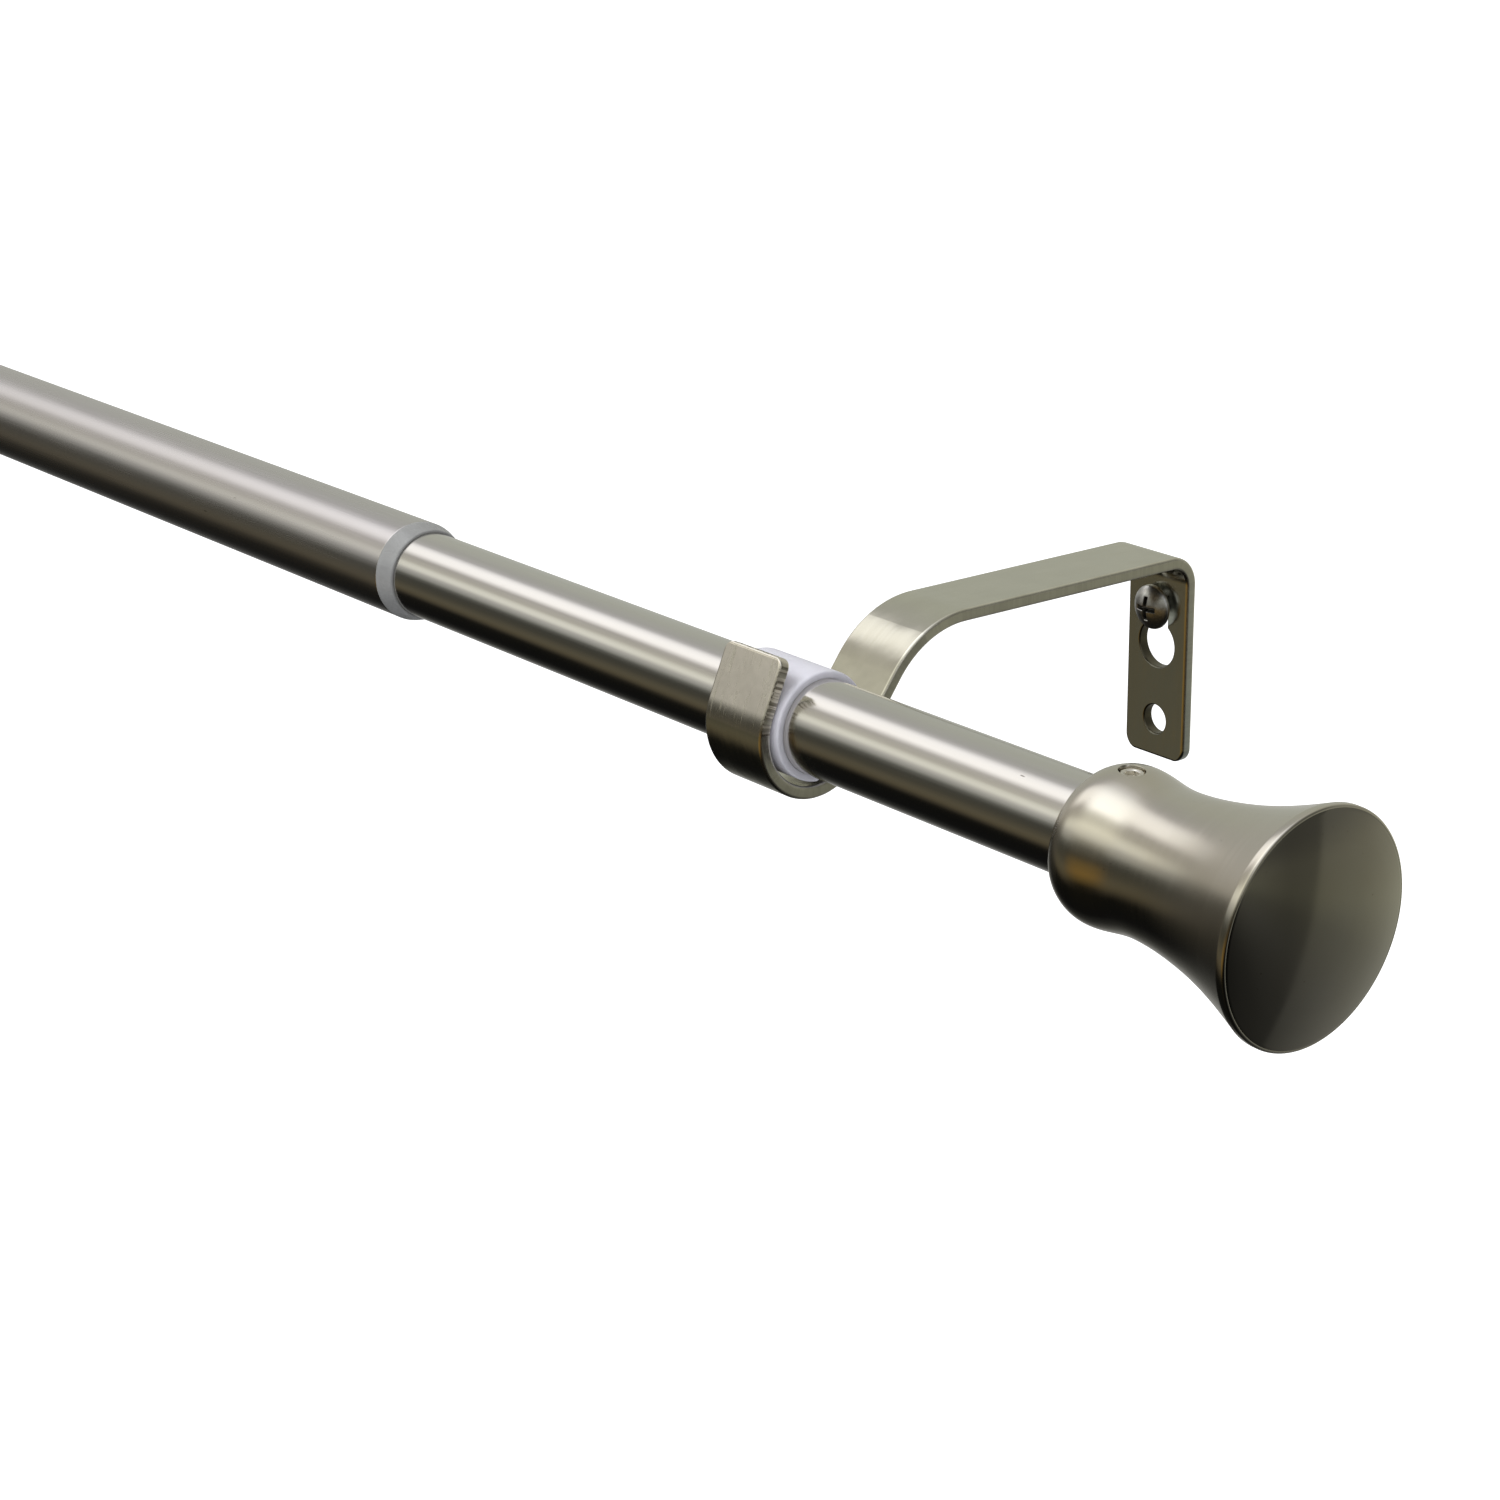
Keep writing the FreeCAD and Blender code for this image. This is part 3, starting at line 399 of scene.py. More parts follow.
def screw_metal(name, base, rough, dark, spots=520.0):
    """Plated fastener: blotchy plating, rougher in the recesses, which are painted dark as shade."""
    m = Mat(name)
    m.put(Metallic=1.0)
    blotch = m.noise(m.coords((spots, spots, spots)), 1.0, 4.0, 0.6)
    fine = m.noise(m.coords((3000, 3000, 3000)), 1.0, 2.0, 0.5)
    col = m.blend(m.ranged(blotch, 0.35, 0.68, 0.0, 1.0), lift(base, 1.12), dark)
    # painted shade: the recesses are painted near-black, and made rougher
    recess_shade = m.attr("recess_shade")
    col = m.blend(m.math("MULTIPLY", recess_shade, 0.75), col, (0.05, 0.05, 0.045))
    m.color(col)
    m.rough(m.math("ADD", m.ranged(blotch, 0.3, 0.7, rough, rough + 0.16), m.math("MULTIPLY", recess_shade, 0.2)))
    m.normal(m.bump(blotch, 0.00006, 0.35, m.bump(fine, 0.00002, 0.3)))
    return m.m


def moulded(name, base, shade, rough, sss, wax, ior=1.5):
    """Milky moulded plastic, painted a little lighter where its surface turns away from view as a painted sheen, with
    fine flow lines and a dull skin.
    """
    m = Mat(name)
    m.put(Metallic=0.0, IOR=ior)
    m.b.inputs["Subsurface Weight"].default_value = sss
    m.b.inputs["Subsurface Radius"].default_value = (1.0, 0.95, 1.0)
    m.b.inputs["Subsurface Scale"].default_value = wax
    m.b.inputs["Specular IOR Level"].default_value = 0.4
    flow = m.noise(m.coords((180, 420, 420), attr="lathe"), 1.0, 4.0, 0.55, 0.6)
    fine = m.noise(m.coords((2600, 2600, 2600), attr="lathe"), 1.0, 2.0, 0.5)
    scuff = m.noise(m.coords((1200, 160, 160), attr="lathe"), 1.0, 3.0, 0.65)
    col = m.blend(m.ranged(flow, 0.35, 0.7, 0.0, 1.0), base, shade)
    col = m.blend(m.ranged(scuff, 0.62, 0.72, 0.0, 0.25), col, lift(shade, 0.86))
    # painted sheen: a little lighter where the surface turns away from view
    grazing_sheen = m.add("ShaderNodeLayerWeight")
    grazing_sheen.inputs["Blend"].default_value = 0.25
    col = m.blend(m.math("MULTIPLY", grazing_sheen.outputs["Facing"], 0.25), col, lift(base, 1.05))
    m.color(col)
    m.rough(m.ranged(flow, 0.3, 0.7, rough, rough + 0.14))
    m.normal(m.bump(fine, 0.00004, 0.25, m.bump(flow, 0.00008, 0.25)))
    return m.m


TUBE = (0.70, 0.685, 0.65)
M_OUTER = satin_tube("outer_tube_nickel", (0.665, 0.645, 0.642), 0.21, 0.28, 3600.0, 0.10, 0.13)
M_INNER = satin_tube("inner_tube_nickel", TUBE, 0.12, 0.18, 4600.0, 0.0, 0.10)
M_FINIAL = satin_turned("finial_nickel", (0.63, 0.602, 0.53), 0.13, 0.20, 0.12, 4200.0, 0.22)
# the dome's nickel is darker than the finial's: part of that darkness is painted shade, set low so the bright studio
# does not wash the dome out
M_CAP = satin_turned("cap_nickel_painted_dark", (0.318, 0.303, 0.262), 0.07, 0.10, 0.0, 2600.0, 0.06)
M_STRIP = plated_strip("strip_nickel", (0.645, 0.63, 0.535))
M_ZINC = screw_metal("zinc_plate", (0.74, 0.745, 0.735), 0.26, (0.38, 0.385, 0.375))
M_GRUB = screw_metal("bright_plate", (0.86, 0.84, 0.78), 0.22, (0.66, 0.63, 0.56), 900.0)
M_SLEEVE = moulded("sleeve_plastic", (0.765, 0.755, 0.84), (0.72, 0.71, 0.79), 0.33, 0.45, 0.003)
M_RING = moulded("ring_plastic_clear", (0.335, 0.338, 0.332), (0.285, 0.287, 0.282), 0.20, 0.25, 0.002)
M_GUIDE = moulded("guide_plastic_milky", (0.78, 0.78, 0.80), (0.70, 0.70, 0.73), 0.40, 0.2, 0.002)


def finish_piece(ob, mat, body, node, at=None):
    if at is not None:
        settle(ob, at)
    ob.data.materials.clear()
    ob.data.materials.append(mat)
    polish(ob)
    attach(ob, body)
    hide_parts(node)
    return ob


# ------------------------------------------------------------------ tubes


def tube(name, x0, x1, outer, bore, seam_at, seam_depth):
    """Rolled and welded tube: broken edges, and the faint flattened weld line on its far underside."""
    sections = 14
    lip = soften([(x0, bore), (x1, bore), (x1, outer), (x0, outer)], [0.14, 0.14, 0.2, 0.2], 4)
    profile = []
    for i, p in enumerate(lip):
        profile.append(p)
        q = lip[(i + 1) % len(lip)]
        if abs(q[0] - p[0]) > 50:
            profile += [(p[0] + (q[0] - p[0]) * k / sections, p[1]) for k in range(1, sections)]
    w = 0.35 / outer

    def r(u, q, a):
        if q < outer - 0.3:
            return q
        d = (a - seam_at + PI) % (2 * PI) - PI
        return q - seam_depth * math.exp(-((d / w) ** 2)) if abs(d) < 4 * w else q

    angles = ring(160, [seam_at + w * k / 2 for k in range(-6, 7)])
    return turned(name, profile, angles, True, r)


SEAM = math.radians(208)
outer_tube = finish_piece(tube("outer_tube_skin", -770.5, -110.5, 9.5, 8.9, SEAM, 0.07), M_OUTER, "outer_tube", "outer_tube", axis_at(0))
inner_tube = finish_piece(tube("inner_tube_skin", -565.5, 94.5, 8.15, 7.55, SEAM + 0.5, 0.06), M_INNER, "inner_tube", "inner_tube", axis_at(0))

# end ring: a moulded collar with a rounded shoulder, its spigot split by shallow relief grooves
ring_profile = soften(
    [(-12, 8.165), (4, 8.165), (4, 8.6), (0.8, 9.5), (0.0, 9.5), (0.0, 8.9), (-12, 8.9)],
    [0.15, 0.02, 0.40, 3.0, 0.1, 0.0, 0.3], 8)


def ring_groove(u, q, a):
    if u > -1.0 or q < 8.6:
        return q
    d = (a * 6 / (2 * PI)) % 1.0
    return q - 0.18 * math.exp(-(((d - 0.5) / 0.05) ** 2))


end_ring = finish_piece(
    turned("outer_tube_end_ring_moulded", ring_profile, ring(180), True, ring_groove),
    M_RING, "outer_tube", "outer_tube_end_ring", axis_at(-110.5))

# guide bush on the hidden end of the inner tube
bush_profile = soften(
    [(-8, 5.6), (14, 5.6), (14, 7.55), (0, 7.55), (0, 8.85), (-7.4, 8.85), (-8, 8.25)],
    [0.2, 0.2, 0.3, 0.0, 0.2, 0.2, 0.2], 4)


def bush_ribs(u, q, a):
    if u < -0.5 and q > 8.7:
        return q - 0.12 * (0.5 - 0.5 * math.cos(12 * a))
    return q


guide = finish_piece(
    turned("inner_tube_guide_moulded", bush_profile, ring(144), True, bush_ribs),
    M_GUIDE, "inner_tube", "inner_tube_guide", axis_at(-565.5))


# ------------------------------------------------------------------ split sleeve


def split_sleeve():
    """C-shaped sleeve, slit along the underside, with the slit's edges cut unevenly."""
    section = soften([(-8.5, 8.165), (8.5, 8.165), (8.5, 9.4), (-8.5, 9.4)], [0.03, 0.03, 0.4, 0.4], 5)
    dense = []
    for i, p in enumerate(section):
        dense.append(p)
        q = section[(i + 1) % len(section)]
        if abs(q[0] - p[0]) > 5:
            dense += [(p[0] + (q[0] - p[0]) * k / 22, p[1]) for k in range(1, 22)]
    section = dense
    mid = (0.0, (8.23 + 9.4) / 2)
    half = 0.65 / 9.0
    start, stop = -PI / 2 + half, 1.5 * PI - half
    n = 150

    def ragged(u, side):
        return 0.010 * math.sin(2.3 * u + side) + 0.007 * math.sin(6.1 * u + 2 * side) + 0.004 * math.sin(13.7 * u)

    verts, rows = [], []

    def add_row(a, shrink, wob, side):
        row = []
        for u, r in section:
            q = mid[1] + (r - mid[1]) * (1 - shrink / 0.585) if shrink else r
            v = u - math.copysign(min(abs(u), shrink), u) if abs(u) > 8.0 and shrink else u
            b = a + wob * ragged(u, side)
            row.append(len(verts))
            verts.append((v, -q * math.cos(b), q * math.sin(b)))
        rows.append(row)

    e = 0.16
    for k in range(4):
        t = k / 4 * PI / 2
        add_row(start + e / 9 * (1 - math.sin(t)), e * (1 - math.cos(PI / 2 - t)), 1.0, 1.0)
    rows.sort(key=lambda r: 0)
    for k in range(n + 1):
        f = k / n
        a = start + e / 9 + (stop - start - 2 * e / 9) * f
        wob = max(0.0, 1 - f * 14) if f < 0.5 else max(0.0, 1 - (1 - f) * 14)
        add_row(a, 0.0, wob, 1.0 if f < 0.5 else 2.5)
    for k in range(4):
        t = (k + 1) / 4 * PI / 2
        add_row(stop - e / 9 + e / 9 * math.sin(t), e * (1 - math.cos(t)), 1.0, 2.5)
    faces = grid(rows, False, True)
    # close the two slit faces
    for row, flip in ((rows[0], False), (rows[-1], True)):
        m = len(section)
        c = len(verts)
        ids = list(row)
        pts = [verts[i] for i in ids]
        verts.append(tuple(sum(p[k] for p in pts) / m for k in range(3)))
        # fan over a long thin face would twist, so pair up the two long sides instead
        verts.pop()
        faces.append(tuple(ids))
    return verts, faces


v, f = split_sleeve()
sleeve = to_object("bracket_sleeve_moulded", v, f)
bm = bmesh.new()
bm.from_mesh(sleeve.data)
bmesh.ops.triangulate(bm, faces=[x for x in bm.faces if len(x.verts) > 8], ngon_method="BEAUTY")
bmesh.ops.recalc_face_normals(bm, faces=bm.faces)
bm.to_mesh(sleeve.data)
bm.free()
finish_piece(sleeve, M_SLEEVE, "bracket_sleeve", "bracket_sleeve", axis_at(0))

# ------------------------------------------------------------------ finials

OUTLINE = [(0.0, 10.2), (0.6, 11.2), (1.5, 11.85), (3.7, 12.6), (6.1, 12.68), (9.1, 12.25), (12.6, 11.8), (16.1, 11.83),
           (19.6, 12.15), (23.6, 12.78), (28.1, 13.75), (32.6, 15.05), (37.1, 16.65), (41.7, 18.5)]
GRUB_U = 6.0


def finial(name):
    outer = smooth_line(OUTLINE, [6, 8, 12, 10, 10, 10, 8, 8, 8, 10, 10, 10, 10])
    inside = soften(
        [(41.7, 18.5), (42.9, 18.5), (42.9, 18.0), (41.7, 18.0), (41.7, 16.4), (36.4, 14.1), (30.3, 10.8), (24.3, 7.9),
         (22.3, 7.9), (22.3, 9.6), (0.0, 9.6), (0.0, 10.2)],
        [0, 0.40, 0.03, 0, 0.3, 1.5, 1.5, 0.5, 0.3, 0.3, 0.22, 0], 5, False)
    profile = outer[:-1] + inside[:-1]
    # thin the mouth's corner: the last point of the inside meets the first of the outside
    ob = turned(name, profile, ring(160))
    # the screw's threaded hole, with a broken edge at the collar's surface
    n = 48
    rows, verts = [], []
    for z, r in ((8.8, 2.0), (12.25, 2.0), (12.40, 2.03), (12.7, 2.2), (14.0, 2.9)):
        row = []
        for k in range(n):
            t = 2 * PI * k / n
            row.append(len(verts))
            verts.append((GRUB_U + r * math.cos(t), r * math.sin(t), z))
        rows.append(row)
    faces = grid(rows, False, True)
    faces += [tuple(reversed(rows[0])), tuple(rows[-1])]
    cutter = to_object(name + "_cutter", verts, faces)
    carve(ob, [cutter])
    return ob


def cap(name):
    rim, dome, long = 17.995, 3.0, 42.9
    ball = (18.0 ** 2 + dome ** 2) / (2 * dome)
    cx = long + dome - ball
    a0 = math.atan2(18.0, long - cx)
    arc = [(cx + ball * math.cos(a0 * k / 40), ball * math.sin(a0 * k / 40)) for k in range(40)]
    arc = [p for p in arc if p[1] < 17.8]
    edge = soften([arc[-1], (long + 0.005, rim), (41.72, rim), (41.72, 0.0)], [0, 0.02, 0.15, 0], 3, False)
    profile = arc + edge[1:-1] + [(41.72, 12.0), (41.72, 6.0), (41.72, 0.0)]
    return turned(name, profile, ring(160), False)


def set_screw(name, inner):
    """M4 headless screw: cup point, rolled thread, countersunk hexagon socket."""
    n = 72
    z0, z1 = inner, inner + 3.2
    verts, rows, recess_shade = [], [], []

    def row(z, fn):
        rows.append([len(verts) + k for k in range(n)])
        for k in range(n):
            t = 2 * PI * k / n
            r, dz = fn(t)
            verts.append((r * math.cos(t), r * math.sin(t), z + dz))

    def flat(r):
        return lambda t: (r, 0.0)

    def hexa(t):
        return (1.0 / math.cos((t % (PI / 3)) - PI / 6), 0.0)

    row(z0 + 0.35, flat(0.001))
    row(z0 + 0.06, flat(0.85))
    row(z0, flat(1.05))
    row(z0, flat(1.5))
    lo, hi = z0 + 0.3, z1 - 0.25
    steps = 56
    for k in range(steps + 1):
        z = lo + (hi - lo) * k / steps
        fade = min(1.0, (z - lo) / 0.25, (hi - z) / 0.2)

        def thread(t, z=z, fade=fade):
            p = (z / 0.7 - t / (2 * PI)) % 1.0
            v = abs(p - 0.5) * 2
            cut = 0.33 * max(0.0, min(1.0, (v - 0.12) / 0.76))
            base = 1.95 if fade > 0.99 else 1.95 - 0.12 * (1 - fade)
            return (base - cut * fade, 0.0)

        row(z, thread)
    row(z1 - 0.04, flat(1.74))
    row(z1, flat(1.68))
    row(z1, flat(1.36))
    row(z1 - 0.03, flat(1.30))
    row(z1 - 0.16, hexa)
    row(z1 - 0.5, hexa)
    row(z1 - 0.85, hexa)
    row(z1 - 0.88, lambda t: (0.9, 0.0))
    row(z1 - 1.3, flat(0.001))
    ob = to_object(name, verts, grid(rows, False, True), 28.0)
    # a faint painted shade in the bottom of the hexagon socket
    mark_recess_shade(ob, lambda c: 0.05 if c.z < (z1 - 0.8) * MM and math.hypot(c.x, c.y) < 0.95 * MM and c.z > (z1 - 2.0) * MM else 0.0)
    return ob


def mark_recess_shade(ob, fn):
    at = ob.data.attributes.new("recess_shade", "FLOAT", "POINT")
    for i, v in enumerate(ob.data.vertices):
        at.data[i].value = fn(v.co)


DROOP = math.radians(2.0)
RIGHT = axis_at(72.9, ROD_Y, -0.45, 0.0, DROOP)
LEFT = axis_at(-748.9, ROD_Y, 0.0, PI)
for side, at in (("right", RIGHT), ("left", LEFT)):
    finish_piece(finial(side + "_finial_shell"), M_FINIAL, side + "_finial", side + "_finial_body", at)
    finish_piece(cap(side + "_finial_dome"), M_CAP, side + "_finial", side + "_finial_cap", at)
    spot = at @ Matrix.Translation((GRUB_U * MM, 0, 0))
    finish_piece(set_screw(side + "_set_screw_turned", 9.0 if side == "right" else 9.6),
                 M_GRUB, side + "_set_screw", side + "_set_screw", spot)


# ------------------------------------------------------------------ wall screws


def wall_screw(name, x, z0):
    """Pan head wood screw: cross recess with tapered wings, coarse rolled thread, gimlet point."""
    wing = math.atan2(0.45, 2.3)
    angles = set()
    for q in range(4):
        for d in (0, 0.5 * wing, wing * 0.985, wing * 1.015, PI / 4 - 0.02, PI / 4, PI / 4 + 0.02, PI / 2 - wing * 1.015,
                  PI / 2 - wing * 0.985, PI / 2 - 0.5 * wing):
            angles.add(round(q * PI / 2 + d, 6))
    for k in range(80):
        angles.add(round(2 * PI * k / 80, 6))
    angles = sorted(a for a in angles if a < 2 * PI - 1e-6)
    keep = [angles[0]]
    for a in angles[1:]:
        if a - keep[-1] > 1e-3:
            keep.append(a)
    angles = keep

    def cross(t, a, b):
        p = t % (PI / 2)
        p = min(p, PI / 2 - p)
        return a / math.cos(p) if math.tan(p) <= b / a else b / math.sin(p)

    ball = (4.1 ** 2 + 1.8 ** 2) / 3.6
    cy = -5.75 + ball

    def crown(r):
        return cy - math.sqrt(max(0.0, ball * ball - r * r))

    verts, rows = [], []

    def row(fn):
        rows.append([len(verts) + k for k in range(len(angles))])
        for t in angles:
            r, y = fn(t)
            verts.append((x + r * math.cos(t), y, z0 + r * math.sin(t)))

    row(lambda t: (0.0, -4.05))
    row(lambda t: (0.25, -4.1))
    row(lambda t: (cross(t, 0.9, 0.33), -4.25))
    row(lambda t: (cross(t, 1.75, 0.38), -4.5))
    row(lambda t: (cross(t, 2.1, 0.42), crown(2.0) + 0.25))
    row(lambda t: (cross(t, 2.2, 0.45), crown(cross(t, 2.2, 0.45)) + 0.08))
    row(lambda t: (cross(t, 2.27, 0.52), crown(cross(t, 2.27, 0.52)) + 0.01))
    for k in range(1, 13):
        f = k / 13
        row(lambda t, f=f: (cross(t, 2.27, 0.52) + (3.85 - cross(t, 2.27, 0.52)) * f,
                            crown(cross(t, 2.27, 0.52) + (3.85 - cross(t, 2.27, 0.52)) * f)))
    for r, y in ((3.85, crown(3.85)), (3.98, crown(3.98) + 0.02), (4.07, -3.86), (4.1, -3.74), (4.1, -3.42), (4.05, -3.3), (3.95, -3.25), (2.3, -3.25)):
        row(lambda t, r=r, y=y: (r, y))
    y0, y1, y2 = -3.25, 2.55, 5.75
    for k in range(131):
        y = y0 + 0.1 + (y2 - 0.05 - y0 - 0.1) * k / 130
        s = 1.0 if y < y1 else max(0.06, 1 - (y - y1) / (y2 - y1))
        lead = min(1.0, (y - y0) / 0.8)

        def thread(t, y=y, s=s, lead=lead):
            p = (y / 1.6 - t / (2 * PI)) % 1.0
            v = max(0.0, 1 - abs(p - 0.5) * 2 * 1.6)
            root = 1.42 * s
            return (root + (2.05 * s - root) * (v ** 0.8) * lead, y)

        row(thread)
    row(lambda t: (0.0, y2))
    ob = to_object(name, verts, grid(rows, False, True), 30.0)
    # the cross recess is marked for painted shade
    mark_recess_shade(ob, lambda c: 1.0 if (c.y < -3.9 * MM and c.y > -5.2 * MM and math.hypot(c.x - x * MM, c.z - z0 * MM) < 2.15 * MM
                                    and c.y > crown(math.hypot(c.x - x * MM, c.z - z0 * MM) / MM) * MM + 0.12 * MM) else 0.0)
    return ob


finish_piece(wall_screw("right_wall_screw_rolled", 0.0, 1.2), M_ZINC, "right_wall_screw", "right_wall_screw")
finish_piece(wall_screw("left_wall_screw_rolled", -676.3, 2.0), M_ZINC, "left_wall_screw", "left_wall_screw")

# ------------------------------------------------------------------ brackets

WIDE, THICK, EDGE = 7.3, 1.125, 0.55


def strip_path():
    """Middle line of the strip as (y, z) points from the plate's lower end to the tip, returned with those two ends."""
    wall = 88.4 - THICK
    a1, a2, lean = math.radians(1.0), math.radians(53.1), math.radians(23.7)
    hook = 9.75 + THICK
    arm = (math.cos(a1), -math.sin(a1))
    ap = (78.5 - THICK * math.sin(a1), 12.3 - THICK * math.cos(a1))
    rw, rb = 4.85, 18.9
    cx = wall - rw
    cz = ap[1] + (cx - ap[0]) * (-math.tan(a1)) - rw / math.cos(a1)
    hc = (0.0, -0.8)
    n2 = (math.sin(a2), -math.cos(a2))
    d2 = (math.cos(a2), math.sin(a2))
    hs = (hc[0] + hook * n2[0], hc[1] + hook * n2[1])
    pa = (ap[0] - rb * math.sin(a1), ap[1] - rb * math.cos(a1))
    ps = (hs[0] + rb * n2[0], hs[1] + rb * n2[1])
    det = arm[0] * (-d2[1]) - (-d2[0]) * arm[1]
    rx, rz = ps[0] - pa[0], ps[1] - pa[1]
    k = (rx * (-d2[1]) - (-d2[0]) * rz) / det
    bc = (pa[0] + k * arm[0], pa[1] + k * arm[1])
    ba = (bc[0] + rb * math.sin(a1), bc[1] + rb * math.cos(a1))
    bs = (bc[0] - rb * n2[0], bc[1] - rb * n2[1])
    n3 = (-math.cos(lean), math.sin(lean))
    d3 = (math.sin(lean), math.cos(lean))
    ht = (hc[0] + hook * n3[0], hc[1] + hook * n3[1])
    tip = (ht[0] + 9.7 * d3[0], ht[1] + 9.7 * d3[1])
    wa = (cx + rw * math.sin(a1), cz + rw * math.cos(a1))
    pts = []

    def line(a, b, n, skip=True):
        for i in range(1 if skip else 0, n + 1):
            pts.append((a[0] + (b[0] - a[0]) * i / n, a[1] + (b[1] - a[1]) * i / n))

    def arc(c, r, t0, t1, n):
        for i in range(1, n + 1):
            t = t0 + (t1 - t0) * i / n
            pts.append((c[0] + r * math.cos(t), c[1] + r * math.sin(t)))

    def ang(c, p):
        return math.atan2(p[1] - c[1], p[0] - c[0])

    lo = (wall, -27.5)
    for d in end_steps(2.8):
        pts.append((wall, -27.5 + d))
    line((wall, -27.5 + 2.8), (wall, cz), 1)
    arc((cx, cz), rw, 0.0, ang((cx, cz), wa), 30)
    line(wa, ba, 16)
    arc(bc, rb, ang(bc, ba), ang(bc, bs), 36)
    line(bs, hs, 6)
    t0, t1 = ang(hc, hs), ang(hc, ht)
    while t1 > t0:
        t1 -= 2 * PI
    arc(hc, hook, t0, t1, 72)
    L = 9.7
    line(ht, (ht[0] + (L - 1.8) * d3[0], ht[1] + (L - 1.8) * d3[1]), 5)
    for d in reversed(end_steps(1.8)[:-1]):
        pts.append((tip[0] - d * d3[0], tip[1] - d * d3[1]))
    return pts, lo, tip


def end_steps(corner):
    ds = [EDGE * (1 - math.cos(k * PI / 12)) for k in range(7)]
    for k in range(1, 11):
        d = corner * (1 - math.cos(k * PI / 22))
        if d > EDGE + 0.03:
            ds.append(d)
    ds.append(corner)
    return ds


PATH, LOW, TIP = strip_path()
CUM = [0.0]
for p, q in zip(PATH, PATH[1:]):
    CUM.append(CUM[-1] + math.hypot(q[0] - p[0], q[1] - p[1]))
TOTAL = CUM[-1]
HOOK_FROM = None


def section(w, t, f, seg=5):
    f = max(0.02, min(f, t - 0.01, w - 0.01))
    return soften([(-w, -t), (w, -t), (w, t), (-w, t)], [f] * 4, seg)


